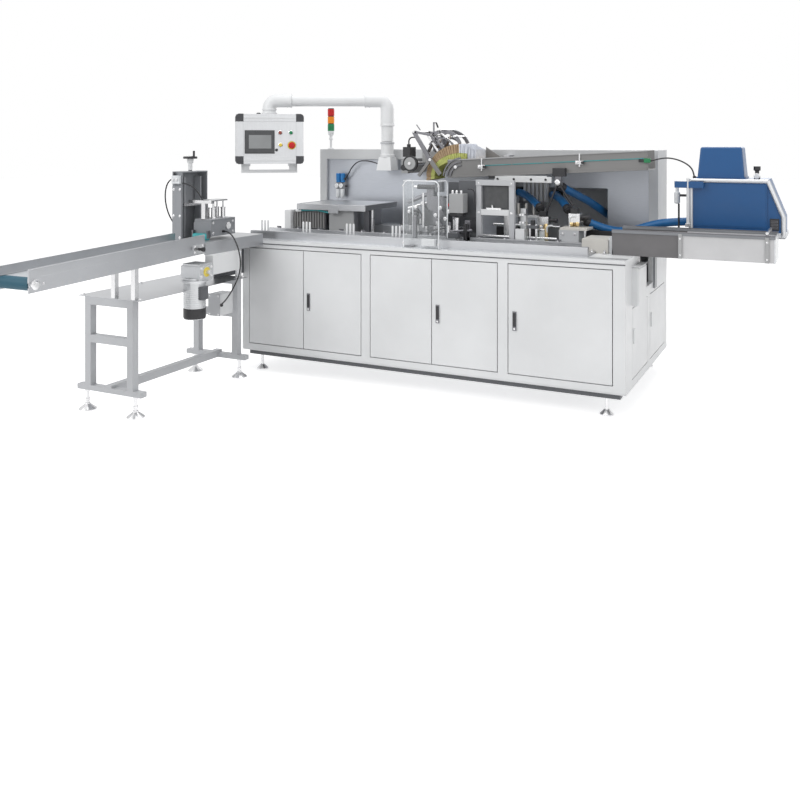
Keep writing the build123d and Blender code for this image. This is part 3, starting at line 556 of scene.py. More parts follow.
# Heated hoses and cables: length in metres, and route in millimetres from the corner
HOSES = (
    ("glue_hose_1", 0.763, ((1600, 1348.8, 1193), (1602, 1150, 1201), (1690, 960, 1212),
                            (1793, 872, 1178), (1910, 690, 1130))),
    ("glue_hose_2", 0.736, ((1850, 1348.3, 1180), (1858, 1140, 1192), (1935, 950, 1200),
                            (2035, 790, 1180), (2100, 680, 1130))),
    ("glue_hose_3", 0.726, ((2262, 1343, 1010), (2240, 1150, 1075), (2180, 960, 1160),
                            (2115, 810, 1220), (2062, 700, 1268))),
    ("glue_hose_4", 0.685, ((2876, 800, 1066), (2760, 803, 1058), (2640, 806, 1040),
                            (2500, 800, 990), (2360, 752, 985), (2235, 680, 1048))),
)
CABLES = (
    ("tower_line", 0.359, ((-165, -505, 1330), (-196, -510, 1326), (-224, -520, 1285),
                           (-232, -525, 1215), (-224, -520, 1140), (-200, -510, 1070),
                           (-165, -500, 1020))),
    ("press_cable", 0.655, ((100, -352, 985), (136, -354, 986), (178, -362, 968),
                            (218, -372, 926), (250, -380, 868), (268, -385, 795),
                            (258, -388, 715), (222, -392, 640), (170, -386, 570),
                            (116, -366, 522), (75, -346, 500))),
    ("press_line", 0.307, ((-85, -526, 1300), (-62, -518, 1300), (-18, -492, 1272),
                           (14, -462, 1212), (34, -436, 1132), (38, -424, 1066))),
    ("glue_cable", 0.349, ((2618, 692.5, 1440), (2652, 691, 1452), (2730, 686, 1468),
                           (2800, 686, 1456), (2862, 692, 1424), (2892, 698, 1384),
                           (2896, 700, 1338))),
    ("air_line", 0.403, ((240, 1015, 1280), (258, 1013, 1300), (300, 1006, 1372),
                         (362, 1001, 1420), (440, 997, 1424), (516, 993, 1410),
                         (574, 990, 1388))),
)

# The screen's arm, in metres, from its post to the screen's head
ARM_TURN = math.radians(206.1)
ARM_WAY = Vector((math.cos(ARM_TURN), math.sin(ARM_TURN), 0))
ARM_HEIGHT = 1.880
POST = at(635, 960, 0)
HEAD = POST + 0.894 * ARM_WAY
SCREEN_TURN = math.radians(38)


def add_screen_arm():
    """Elbows, sleeves and rings over the screen's arm."""
    piece = Piece("arm_fittings", "white_paint", "screen_arm")
    for foot, out, low, high in ((HEAD, -ARM_WAY, 1.806, 1.815), (POST, ARM_WAY, 1.690, 1.700)):
        elbow = foot + UP * ARM_HEIGHT
        end = elbow + out * 0.165
        piece.tube([foot + UP * low, foot + UP * high] + bend(elbow, UP, out, 0.062) + [end],
                   ARM_WAY.cross(UP).normalized(), 51, "white", 32)
        piece.turned(end - out * 0.004, out, ((53.5, 0), (53.5, 10)), "white", 32)
        for side in (-1, 1):
            piece.bolts(UP * side, 5, end + UP * 0.047 * side - out * 0.03)
    piece.rods("white", (HEAD + UP * ARM_HEIGHT - ARM_WAY * 0.15,
                         POST + UP * ARM_HEIGHT + ARM_WAY * 0.15, 43.5), sides=32)
    piece.turned(HEAD, UP, ((0, 1778), (58, 1778), (58, 1788), (50, 1792), (50, 1806),
                            (56, 1808), (56, 1816), (51, 1818)), "white", 32)
    piece.turned(POST, UP, ((46, 1571), (46, 1686), (55, 1688), (55, 1700), (51.5, 1702)),
                 "white", 32)
    piece.done()
    collar = Piece("post_collar", "white_paint")
    collar.turned(POST, UP, ((50, 1452), (55, 1454), (55, 1472), (50, 1474)), "white", 32)
    collar.turned(POST, UP, ((50, 1552), (54, 1553), (54, 1566), (50, 1567)), "light_grey", 32)
    collar.done()


def add_screen():
    """Frame, corner caps, display, buttons and handle brackets of the screen."""
    piece = Piece("screen_fittings", "aluminium", "screen_head", (0.0, 0.0, 0.0))
    for low, high in ((1722, 1777), (1404, 1459)):
        piece.boxes("silver", (-197, 197, -70.5, -60, low, high))
        piece.boxes("alu", (-197, 197, -72.5, -70.5, low + 20, high - 20))
    for side in (-1, 1):
        piece.boxes("silver", (side * 197, side * 251, -70.5, -60, 1459, 1722),
                    (side * 249, side * 253.5, -44, -12, 1462, 1719))
        piece.boxes("alu", (side * 249, side * 253.5, 12, 44, 1462, 1719))
        piece.boxes("white", (side * 142, side * 202, -24, 24, 1386, 1405),
                    (side * 150, side * 194, -18, 18, 1350, 1386))
        for height, way in ((1777, 1), (1404, -1)):
            piece.prism([(side * across, -74, height + way * rise) for across, rise in (
                (195, -57), (254, -57), (254, -20), (246, -6), (232, 2), (195, 2))],
                (0, 134, 0), "cap")
    piece.boxes("bezel", (-186, 35, -74, -65.5, 1480, 1655), (-180, 29, -76.5, -74, 1486, 1649))
    piece.boxes("display", (-156, 10, -77.5, -76.5, 1518, 1619))
    for x, z, finish in ((76, 1637, "brown"), (156, 1637, "green"), (79, 1545, "yellow")):
        piece.turned((x, -66, z), SOUTH, ((17.5, 0), (17.5, 5), (14, 7)), "bright")
        piece.turned((x, -72, z), SOUTH, ((13.5, 0), (13.5, 6), (10, 9)), finish)
    piece.turned((163, -66, 1542), SOUTH, ((32, 0), (32, 3)), "yellow", 32)
    piece.turned((163, -69, 1542), SOUTH, ((12, 0), (12, 10), (24, 12), (25, 20), (21, 25),
                                           (8, 27)), "red", 32)
    piece.turned((50, -66, 1507), SOUTH, ((11, 0), (11, 4), (6, 8)), "cap")
    piece.boxes("white", (-205, 205, -14, 14, 1336, 1358))
    piece.turned((-80, 10, 1777), UP, ((16, 0), (16, 8), (10, 12)), "cap")
    piece.bolts(NORTH, 6, *[(x, 60.5, z) for x in (-150, 150) for z in (1470, 1710)])
    place = Matrix.Translation(HEAD) @ Matrix.Rotation(SCREEN_TURN, 4, "Z")
    bmesh.ops.transform(piece.mesh, matrix=place, verts=piece.mesh.verts[:])
    piece.done(3)


def add_signal_light():
    """Three lamps over a pale dome and pole."""
    piece = Piece("signal_lamps", "white_paint")
    foot = (64, 1090, 1510)
    piece.turned(foot, UP, ((26, 0), (26, 6), (13, 10), (9, 12), (9, 70), (14, 74), (16, 84),
                            (12, 96), (12, 106), (22, 118), (25.5, 138), (25.5, 146)),
                 "white", 28)
    for low, finish in ((146, "green"), (206, "amber"), (266, "red")):
        piece.turned(foot, UP, ((24.5, low), (26.5, low + 2), (26.5, low + 52),
                                (24.5, low + 54)), finish, 28)
        piece.turned(foot, UP, ((23.5, low + 53), (23.5, low + 61)), "black", 28)
    piece.turned(foot, UP, ((26.2, 316), (26.2, 319), (22, 319.8)), "red", 28)
    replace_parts(piece.done(0.8), "signal_light")


def add_air_unit():
    """Filter and regulator with gauges and bowls."""
    piece = Piece("air_fittings", "black_plastic")
    piece.boxes("grey", (156, 234, 1012, 1050, 1200, 1252), (160, 230, 1040, 1050, 1150, 1300))
    for x in (174, 214):
        piece.turned((x, 1018, 1252), UP, ((17, 0), (17, 12), (16.5, 14), (18.5, 18),
                                           (18.5, 66), (16, 70)), "knob", 20)
        piece.turned((x, 1012, 1200), -UP, ((17, 0), (18, 10), (16, 58), (11, 68), (5, 72)),
                     "edge", 20)
        piece.turned((x - 6, 1012, 1226), SOUTH, ((19, 0), (19, 14), (17, 16)), "bright")
        piece.turned((x - 6, 995.8, 1226), SOUTH, ((15.5, 0), (15.5, 1)), "white")
    piece.rods("black", ((140, 1020, 1222), (250, 1020, 1222), 8),
               ((213, 1015, 1280), (213, 1015, 1245), 9))
    piece.turned((240, 1015, 1280), WEST, ((9, 0), (9, 30)), "black", 16)
    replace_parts(piece.done(1), "air_unit")


FEED_FRONT = 695
FEED_BACK = 940


def add_feeder():
    """The rotary blank feeder: struts, humps, pulleys and motors."""
    piece = Piece("feeder_works", "bright_steel")
    for y in ((FEED_FRONT - 14, FEED_FRONT), (FEED_BACK - 12, FEED_BACK)):
        piece.links("dark_steel", y, ((985, 1640), (1112, 1440), 30),
                    ((985, 1640), (1111, 1617), 18))
        piece.links("chute_grey", y, ((1112, 1440), (1190, 1338), 30),
                    ((1112, 1440), (1022, 1326), 22))
        piece.rods("bright", ((1112, y[0] - 3, 1440), (1112, y[1], 1440), 11),
                   ((985, y[0] - 3, 1640), (985, y[1], 1640), 9))
    for y in ((735, 745), (885, 895)):
        piece.arc((1190, 1505), 150, 26, (22, 126), y, "dark_steel")
        piece.arc((1175, 1492), 112, 16, (30, 150), y, "dark_steel")
        piece.links("bright", y, ((1060, 1628), (1150, 1500), 14),
                    ((1150, 1650), (1260, 1560), 12))
        piece.links("dark_steel", y, ((1110, 1620), (1205, 1500), 14))
    for x, z in ((985, 1640), (1111, 1617), (1190, 1652), (1290, 1606), (1112, 1440)):
        piece.rods("bright", ((x, FEED_FRONT, z), (x, FEED_BACK, z), 7))
    for x, y, z in ((1150, 760, 1560), (1210, 800, 1590), (1090, 780, 1560)):
        piece.rods("dark_steel", ((x, y, z), (x - 40, y + 20, z - 60), 12))
        piece.rods("bright", ((x, y, z), (x + 22, y - 10, z + 34), 6))
        piece.turned((x + 24, y - 11, z + 36), (0.5, -0.2, 0.8), ((10, 0), (15, 12), (15, 16)),
                     "black", 16)
    piece.boxes("dark_steel", (1112, 1122, 735, 745, 1617, 1706),
                (1112, 1140, 735, 745, 1700, 1707), (1020, 1140, FEED_BACK, 970, 1500, 1600))
    piece.boxes("housing_grey", (850, 905, 760, 1030, 1340, 1446),
                (935, 1190, FEED_BACK, 1030, 1404, 1500))
    piece.boxes("black", (903, 960, FEED_FRONT - 20, FEED_FRONT + 80, 1460, 1531))
    piece.rods("black", ((1136, 740, 1702), (1150, 740, 1668), 6))
    piece.rods("dark_steel", ((1000, 700, 1690), (1030, 700, 1650), 4))
    piece.rods("bright", ((960, FEED_FRONT, 1413), (960, FEED_BACK, 1413), 12))
    piece.turned((960, FEED_FRONT, 1413), SOUTH, ((57, 0), (57, 6), (50, 7), (50, 15),
                                                  (57, 16), (57, 22)), "black", 36)
    piece.turned((960, FEED_FRONT - 22, 1413), SOUTH, ((45, 0), (43, 3)), "housing_grey", 36)
    piece.turned((960, FEED_FRONT - 25, 1413), SOUTH, ((12, 0), (12, 10)), "bright", 20)
    piece.turned((909, FEED_FRONT, 1384), SOUTH, ((22, 0), (22, 24)), "black")
    piece.turned((932, FEED_FRONT + 20, 1531), UP, ((14, 0), (14, 20)), "black", 16)
    piece.pipe((932, 715), (1548, 1600), EAST, 53, 30, 5, "black")
    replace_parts(piece.done(), "feeder_head")


def add_blanks():
    """Blanks that fan out of the chute's low end."""
    piece = Piece("blank_fan", "carton")
    count = 44
    for number in range(count):
        part = (number + 0.5) / count
        turn = math.radians(188 - 110 * part)
        lean = 0.8 * ((number * 7) % 5 - 2)
        inner = (1330 + 200 * math.cos(turn), 1325 + 112 * math.sin(turn))
        outer = (1330 + 262 * math.cos(turn) + lean, 1325 + 228 * math.sin(turn) + lean)
        middle = [near + (far - near) * 0.45 for near, far in zip(inner, outer)]
        width = 10.5 - 4.0 * abs(part - 0.3)
        piece.links("lime", (722 + lean, 908 + lean), (inner, middle, width * 0.9))
        piece.links("pale" if part > 0.86 else "board", (720 + lean, 910 + lean),
                    (middle, outer, width))
    piece.done(0.6)
    sheets = Piece("blank_sheets", "carton")
    for number in range(6):
        x = 1388 + 11 * number
        sheets.links("pale", (722 + number % 3, 908 + number % 3),
                     ((x, 1345 + 2 * number), (x - 4, 1540 - 5 * number), 7))
    sheets.done(0.6)


def low_edge(x):
    """The height of the chute's underside at x."""
    return 1316 + (x - 1243) * math.tan(math.radians(3.0))


def add_chute():
    """Line, clamps, slotted rail and gusset of the chute."""
    piece = Piece("chute_fittings", "bright_steel")
    lines = [(start, min(start + 212, 2610), 74, 5, 686, "teal")
             for start in range(1500, 2600, 220)]
    lines += [(1250, 2612, 122, 9, 684, "housing_grey"), (1250, 2612, 4, 9, 684, "chute_grey")]
    for start, end, rise, width, front, finish in lines:
        piece.links(finish, (front, 690),
                    ((start, low_edge(start) + rise), (end, low_edge(end) + rise), width))
    for x in (1500, 2180):
        z = low_edge(x) + 66
        piece.boxes("bright", (x - 26, x + 26, 676, 690, z - 12, z + 12))
        piece.posts("bright", (x, 684, z - 28, z + 58, 6))
        piece.turned((x + 26, 676, z), SOUTH, ((10, 0), (10, 22)), "black", 16)
        piece.bolts(SOUTH, 7, (x - 14, 676, z))
    for radius in (142, 116, 92):
        piece.arc((1352, 1318), radius, 11, (92, 176), (682, 690), "dark_steel", 12)
    piece.rods("bright", ((1306, 680, 1392), (1306, 690, 1392), 12), sides=20)
    piece.boxes("white", (1600, 2000, 660, 690, 1296, 1334))
    for x in (1625, 1740, 1860, 1960):
        piece.turned((x, 660, 1316), SOUTH, ((8, 0), (8, 4)), "black", 16)
    piece.boxes("black", (1560, 1606, 656, 690, 1318, 1336))
    piece.boxes("alu", (1640, 1960, 690, 720, 1322, 1340))
    for x in (1700, 2300):
        piece.boxes("dark_steel", (x - 12, x + 12, 940, 1030, low_edge(x) + 20,
                                   low_edge(x) + 60))
    piece.prism(((1436, 940, 1446), (1560, 940, 1454), (1436, 940, 1532)), (0, 6, 0),
                "chute_grey")
    piece.done()


def add_clear_guard():
    """Three clear panes with polished edges."""
    piece = Piece("guard_panes", "clear_sheet")
    piece.boxes("clear", (1226, 1474, 12, 18, 897, 1321))
    for x in (1226, 1468):
        piece.boxes("clear", (x, x + 6, 18, 152, 955, 1321), (x, x + 6, 18, 80, 897, 955))
    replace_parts(piece.done(0.5), "clear_guard")
    rim = Piece("guard_edges", "clear_sheet")
    rim.tube([at(1229, 15, 899)] + bend(at(1229, 15, 1321), UP, EAST, 0.034)
             + bend(at(1471, 15, 1321), EAST, -UP, 0.034) + [at(1471, 15, 899)],
             NORTH, 4.2, "edge", 10)
    for x in (1229, 1471):
        rim.tube([at(x, 152, 957)] + bend(at(x, 152, 1321), UP, SOUTH, 0.034)
                 + [at(x, 16, 1321)], EAST, 3.8, "edge", 10)
        rim.bolts(SOUTH, 5, (x, 11, 930), (x, 11, 1290))
    rim.done(0.4)


def add_guard_works():
    """The dark works behind the clear guard, with dark blocks and panels as painted shade."""
    works = Piece("guard_works", "black_plastic")
    works.boxes("dark_steel", (1233, 1257, 140, 165, 909, 1085), (1215, 1275, 50, 80, DECK, 909),
                (1180, 1230, 480, 540, 1100, 1270), (1250, 1330, 420, 500, 1010, 1200),
                (1030, 1480, 560, 600, DECK, 985))
    # Dark blocks, and flat dark panels at the back, deepen the shade behind the guard: partly the
    # works' own dark parts, partly painted shade.
    works.boxes("dark", (1262, 1312, 430, 480, 1230, 1296), (1345, 1385, 380, 430, 960, 1190),
                (1090, 1180, 640, 670, 930, 1150), (1280, 1500, 620, 650, 985, 1290))
    works.boxes("white", (1336, 1426, 50, 78, 911, 955))
    works.boxes("black", (1000, 1060, 560, 620, DECK, 1090))
    works.boxes("grey", (1050, 1200, 400, 440, 960, 1000))
    works.rods("black", ((1128, 450, 1262), (1283, 450, 1262), 16),
               ((1300, 260, 985), (1420, 260, 1010), 6))
    works.rods("bright", ((1100, 450, 1262), (1128, 450, 1262), 8),
               ((1030, 500, 1110), (1200, 500, 1160), 9))
    works.rods("dark_steel", ((1030, 500, 1150), (1190, 500, 1215), 14))
    works.posts("bright", (1236, 300, 1000, 1230, 7))
    for x, y, z in ((1060, 470, 1090), (1110, 470, 1120), (1160, 470, 1150), (1300, 370, 1080),
                    (1335, 370, 1130), (1375, 360, 1060), (1405, 350, 1110)):
        works.turned((x, y, z), SOUTH, ((14, 0), (14, 22), (9, 26)), "bright", 16)
        works.rods("black", ((x, y, z), (x + 34, y + 16, z - 58), 6))
    for x in (1040, 1100, 1160, 1220, 1280, 1345):
        works.boxes("dark_steel", (x, x + 32, 330, 372, 950, 972))
        works.posts("bright", (x + 16, 350, 972, 1008, 8))
        works.turned((x + 16, 350, 1008), UP, ((12, 0), (12, 10)), "black", 16)
    for x, y, high in ((1075, 520, 1060), (1115, 520, 1040), (1300, 380, 1040),
                       (1330, 380, 1000), (1410, 340, 1020), (1440, 340, 1060)):
        works.posts("bright", (x, y, DECK, high, 9))
        works.turned((x, y, high), UP, ((14, 0), (14, 18), (10, 22)), "dark_steel", 16)
    works.turned((1392, 378, 1150), SOUTH, ((12, 0), (10, 8)), "red", 16)
    works.done()


def add_arch():
    """Shelf, dark window and cover of the arch, and the works on both sides of it."""
    piece = Piece("arch_fittings", "grey_paint")
    piece.boxes("white", (1626, 1814, 340, 378, 1095, 1132))
    piece.boxes("dark", (1626, 1814, 370, 374, 1132, 1290), (1440, 1580, 420, 450, 1060, 1310),
                (1440, 1520, 200, 240, 950, 985))
    piece.boxes("bezel", (1640, 1800, 366, 370, 1140, 1282))
    piece.boxes("light_grey", (1590, 1850, 340, 345, 1286, 1322))
    piece.boxes("bright", (1660, 1760, 344, 366, 1132, 1142))
    piece.boxes("housing_grey", (1420, 1518, 300, 380, 1105, 1228))
    piece.boxes("black", (1425, 1513, 306, 374, 1085, 1105))
    piece.boxes("dark_steel", (1530, 1566, 300, 420, 900, 1060))
    piece.bolts(SOUTH, 6, *[(x, 345, z) for x in (1609, 1831) for z in (920, 1110, 1300)])
    for x in (1434, 1462, 1494):
        piece.turned((x, 330, 1228), UP, ((9, 0), (9, 18), (6, 22)), "bright", 16)
    piece.posts("bright", (1700, 350, 1132, 1160, 6), (1480, 290, DECK, 1075, 16),
                (1450, 220, 985, 1030, 8))
    piece.posts("black", (1545, 270, DECK, 1040, 12))
    piece.rods("dark_steel", ((1440, 280, 985), (1590, 280, 1000), 9))
    piece.pipe((1586, 330), (1150, 1262), WEST, 46, 30, 4.5, "black")
    piece.done()


def add_deck_works():
    """Posts, comb, valves and blocks on the deck right of the arch, with black blocks and a dark
    slab as painted shade.
    """
    piece = Piece("deck_works", "aluminium")
    piece.boxes("housing_grey", (1631, 1711, 800, 860, DECK, 1196))
    piece.boxes("bright", (1690, 1768, 600, 660, DECK, 1080), (2255, 2268, 506, 520, DECK, 1005))
    piece.boxes("alu", (1862, 1898, 430, 470, DECK, 1138), (1718, 1915, 734, 758, 1054, 1072),
                (1905, 2030, 345, 400, DECK, 945))
    piece.boxes("panel", (1718, 1915, 740, 752, DECK, 1054))
    piece.boxes("cream", (1700, 1872, 1012, 1036, 1150, 1310), (2100, 2276, 500, 660, 1005, 1019),
                (2297, 2457, 290, 520, DECK, 979),
                *[(x - 5, x + 5, 734, 758, 1072, 1150) for x in (1746, 1800, 1854)])
    piece.boxes("white", (1856, 1915, 345, 372, DECK, 1014),
                *[(x, x + 17, 986, 1012, 1150, 1310) for x in range(1700, 1880, 30)])
    # Painted shadows: a black strip below the comb and a black block behind the arch's right side
    # stand where there is only shade.
    piece.boxes("black", (1600, 2460, 705, 730, 925, 990), (1545, 1612, 1000, 1040, 1130, 1330))
    piece.boxes("dark", (1929, 2000, 345, 400, 1020, 1040))
    piece.boxes("light_grey", (2095, 2223, 500, 660, DECK, 1005))
    piece.boxes("edge", (2457, 2484, 300, 500, DECK, 990))
    piece.boxes("green_belt", (1560, 2290, 536, 590, DECK, 905))
    # The long dark slab on the deck darkens the deck floor around the guns: painted shade.
    piece.boxes("dark_steel", (1500, 2470, 600, 700, DECK, 925),
                *[(x, x + 20, 500, 530, DECK, 918) for x in range(1640, 2090, 62)])
    piece.boxes("tower_grey", (1900, 2090, 700, 760, 925, 1000))
    piece.rods("bright", ((1600, 650, 1010), (2060, 650, 1010), 9),
               ((1500, 470, 950), (2090, 470, 950), 6),
               *[((x, 396, z), (x, 430, z), 8) for x in (1870, 1890) for z in (1000, 1050, 1100)])
    piece.posts("bright", (1650, 760, 905, 1150, 12), (1944, 372, 945, 1020, 7),
                (1985, 372, 945, 1020, 7),
                *[(x, 268, DECK, 918, 6) for x in (2290, 2330, 2365, 2440)])
    piece.bolts(UP, 6, (1944, 372, 1040), (1985, 372, 1040),
                *[(x + 10, 515, 918) for x in range(1640, 2090, 62)])
    piece.bolts(UP, 10, *[(x, 268, 897) for x in (2290, 2330, 2365, 2440)])
    piece.bolts(SOUTH, 6, (2120, 499, 980), (2200, 499, 980))
    piece.turned((1965, 372, 1040), UP, ((14, 0), (14, 30), (8, 34)), "black", 16)
    piece.done()


def add_guns():
    """Glue guns at the ends of the hoses, with their stems and clamps."""
    piece = Piece("glue_guns", "bright_steel")
    for x, y, z, floor in ((1958, 632, 1018, DECK), (2168, 626, 1046, 1019)):
        piece.boxes("bright", (x - 37, x + 37, y - 31, y + 31, z, z + 58))
        piece.boxes("black", (x - 22, x + 22, y - 36, y + 20, z + 58, z + 92))
        piece.turned((x + 37, y, z + 34), EAST, ((12, 0), (12, 35), (16, 37), (16, 52)),
                     "black", 20)
        piece.turned((x, y, z), -UP, ((22, 0), (22, 18), (15, 22)), "brass", 6)
        piece.posts("brass", (x, y, floor, z, 15))
        piece.posts("edge", (x + 26, y - 20, floor, z + 12, 6))
        piece.posts("bright", (x - 26, y - 20, floor, z + 8, 5))
    for x, y, z, floor in ((1940, 606, 1018, 897), (1980, 600, 1030, 905),
                           (2150, 600, 1046, 1020), (2188, 604, 1050, 1020)):
        drop = z - floor
        piece.turned((x, y, z), (0.10, -0.12, -1),
                     ((13, 0), (15, 10), (12, drop / 1.4), (8, drop / 1.05)), "brass", 16)
    for foot, heights in (((1925, 588), (905, 1010)), ((1990, 588), (905, 1020)),
                          ((2140, 596), (1020, 1085))):
        piece.pipe(foot, heights, EAST, 40, 22, 6.5, "edge")
    for _, _, route in HOSES:
        piece.turned(route[0], at(*route[1]) - at(*route[0]),
                     ((36, 0), (36, 12), (29.5, 16), (29.5, 30)), "black")
    piece.boxes("bright", (1930, 1986, 604, 660, DECK, 909))
    piece.boxes("black", (2010, 2094, 644, 690, 1340, 1394), (2560, 2594, 680, 690, 1438, 1456))
    piece.boxes("dark_steel", (2026, 2066, 650, 684, 1267, 1340))
    piece.boxes("green_belt", (2594, 2634, 674, 690, 1434, 1462))
    piece.rods("edge", ((1958, 590, DECK), (1958, 590, 985), 20), sides=20)
    piece.rods("black", ((2046, 640, 1290), (1972, 640, 1110), 7),
               ((2056, 640, 1290), (2150, 640, 1150), 7))
    piece.rods("bright", ((2214, 660, 1052), (2180, 640, 1062), 10))
    piece.posts("dark_steel", (2062, 676, 1276, 1320, 10))
    piece.turned((1958, 590, 985), UP, ((24, 0), (24, 10), (12, 16)), "bright")
    piece.turned((2046, 650, 1300), SOUTH, ((20, 0), (20, 20), (12, 26)), "bright", 20)
    piece.done()


def add_table():
    """Edge, tab, ribbed block, side post and lines of the table."""
    piece = Piece("table_fittings", "stainless")
    piece.boxes("steel", (173, 737, 417, 424, 1080, 1122), (173, 180, 424, 918, 1084, 1122),
                (730, 737, 424, 918, 1084, 1122), (440, 520, 413, 420, 1060, 1121))
    piece.boxes("dark_steel", (120, 389, 470, 660, 940, 1064), (650, 690, 560, 600, DECK, 1094))
    piece.boxes("chute_grey", *[(x, x + 14, 460, 470, 944, 1060) for x in range(124, 388, 22)])
    piece.boxes("dark", (150, 360, 480, 640, DECK, 940))
    piece.boxes("white", (60, 112, 430, 520, DECK, 1070))
    piece.boxes("housing_grey", (425, 625, 452, 460, 900, 1090))
    piece.boxes("tower_grey", (660, 900, 700, 900, DECK, 960))
    piece.posts("bright", (720, 560, DECK, 1094, 12))
    piece.rods("teal", ((180, 440, 1072), (330, 440, 1078), 7),
               ((330, 440, 1078), (430, 440, 1062), 7))
    piece.rods("white", ((150, 450, 1066), (200, 440, 1072), 10))
    piece.turned((770, 480, DECK), UP, ((26, 0), (22, 12), (10, 18)), "bright", 20)
    piece.done()


def add_lane():
    """Link comb, clips and bolts along the lane."""
    piece = Piece("lane_fittings", "bright_steel")
    for number in range(96):
        x = 20 + number * 24.4
        piece.boxes("dark_steel", (x, x + 13, 118, 124, 926, 938))
    for x in range(60, 2468, 172):
        piece.boxes("dark_steel", (x, x + 34, 330, 338, 948, 962))
        piece.bolts(UP, 5, (x + 17, 312, 950))
    for group in range(4):
        for peg in range(3):
            piece.turned((65 + group * 342 + peg * 26, 138, 930), UP,
                         ((6.8, 0), (6.8, 86), (5, 89.5)), "white", 14)
    piece.done(0.6)


def add_tower():
    """Slide, valve, plates and pedestal of the tower, and its wheel."""
    piece = Piece("tower_fittings", "grey_paint")
    piece.boxes("dark_steel", (-172, -165, -470, -330, 930, 1350))
    piece.boxes("bright", (-180, -172, -460, -444, 940, 1340), (-180, -172, -362, -346, 940, 1340),
                (-160, -90, -500, -310, 1150, 1168))
    piece.boxes("grey", (-192, -180, -468, -336, 1080, 1180), (-150, -100, -490, -480, 950, 1340),
                (-150, -100, -330, -320, 950, 1340), (-162, -88, -536, -530, 935, 1280))
    piece.boxes("edge", (-155, -95, -552, -530, 1298, 1350))
    piece.turned((-140, -541, 1350), UP, ((7, 0), (7, 20)), "black", 16)
    for x in (-140, -112):
        piece.turned((x, -545, 1324), SOUTH, ((10, 0), (10, 16)), "bright", 16)
    for z in (1330, 1020):
        piece.turned((-165, -503, z), WEST, ((9, 0), (9, 12)), "black", 16)
    piece.bolts(SOUTH, 6, *[(x, -536, z) for x in (-150, -100) for z in (950, 1090, 1260)])
    piece.turned((-125, -402.5, 1375), UP, ((34, -2), (34, 0.5)), "white")
    piece.done()
    wheel = Piece("wheel_rim", "black_plastic", "press_wheel")
    hub = (-125, -402.5, 1456)
    wheel.turned(hub, UP, ((14, -75), (14, -30), (20, -28), (22, -2), (22, 18), (14, 20)),
                 "white")
    wheel.turned(hub, UP, ((38, 0), (45.5, 2), (46.2, 8), (44, 14), (38, 15)), "black", 40)
    wheel.posts("black", (-95, -402.5, 1468, 1508, 7))
    wheel.done()


def add_press():
    """Roller, dial, cover lines and terminals of the press head."""
    piece = Piece("press_fittings", "grey_paint")
    piece.boxes("tower_grey", (-34, 104, -479, -475, 975, 1050))
    piece.boxes("grey", (-34, 104, -470, -225, 1064, 1070))
    piece.boxes("dark_steel", (-30, -20, -505, -475, 950, 1000), (88, 98, -505, -475, 950, 1000))
    piece.boxes("alu", (-10, 84, -420, -280, 1182, 1192))
    piece.rods("teal", ((-20, -490, 960), (90, -490, 960), 21), sides=24)
    piece.turned((100, -300, 1018), EAST, ((24, 0), (24, 10), (21, 12)), "bright", 28)
    piece.turned((112, -300, 1018), EAST, ((18, 0), (18, 1)), "white", 28)
    piece.turned((100, -352, 985), EAST, ((8, 0), (8, 14)), "black", 16)
    piece.bolts(EAST, 6, *[(100, y, z) for y in (-450, -245) for z in (980, 1045)])
    for x in (12, 62):
        for y in (-400, -300):
            piece.turned((x, y, 1070), UP, ((17, 0), (17, 6), (15, 7), (15, 62), (17, 63),
                                            (17, 70), (6, 72), (6, 112)), "bright", 20)
    piece.done()


def add_conveyor():
    """Bearings, bolts and end plates of the discharge conveyor."""
    piece = Piece("conveyor_fittings", "bright_steel")
    piece.boxes("alu", (170, 176, -735, -640, 880, 935))
    piece.bolts(EAST, 5, (170, -1895, 866), (170, -1868, 866))
    piece.bolts(EAST, 6, *[(176, y, z) for y in (-722, -653) for z in (890, 925)])
    piece.rods("black", ((176, -690, 908), (205, -690, 908), 9))
    piece.turned((205, -690, 908), EAST, ((14, 0), (14, 14)), "black", 16)
    piece.turned((170, -1925, 868), EAST, ((26, 0), (26, 12), (12, 14), (12, 22)), "bright")
    piece.turned((-70, -1925, 868), WEST, ((26, 0), (26, 10), (10, 12)), "bright")
    piece.done()


def add_drive():
    """Fins, cap, terminal box and shaft of the gearmotor."""
    drive = Piece("drive_fittings", "aluminium")
    axis = (170, -720, 0)
    for number in range(12):
        z = 560 + number * 12.5
        drive.turned(axis, UP, ((66, z), (68.5, z + 1), (68.5, z + 5), (66, z + 6)), "silver", 28)
    drive.turned(axis, UP, ((58, 488), (66, 494), (68.5, 504), (68.5, 552), (66, 556)),
                 "black", 28)
    drive.turned((170, -720, 716), UP, ((80, 0), (80, 10), (62, 12), (62, 24)), "silver", 28)
    drive.turned((246, -700, 775), EAST, ((30, 0), (30, 3)), "yellow", 28)
    drive.boxes("dark", (212, 250, -755, -690, 610, 690))
    drive.boxes("silver", (100, 246, -765, -636, 738, 812))
    drive.rods("bright", ((246, -700, 775), (276, -700, 775), 14), sides=20)
    drive.bolts(EAST, 6, *[(246, y, z) for y in (-748, -652) for z in (750, 800)])
    drive.done(2)


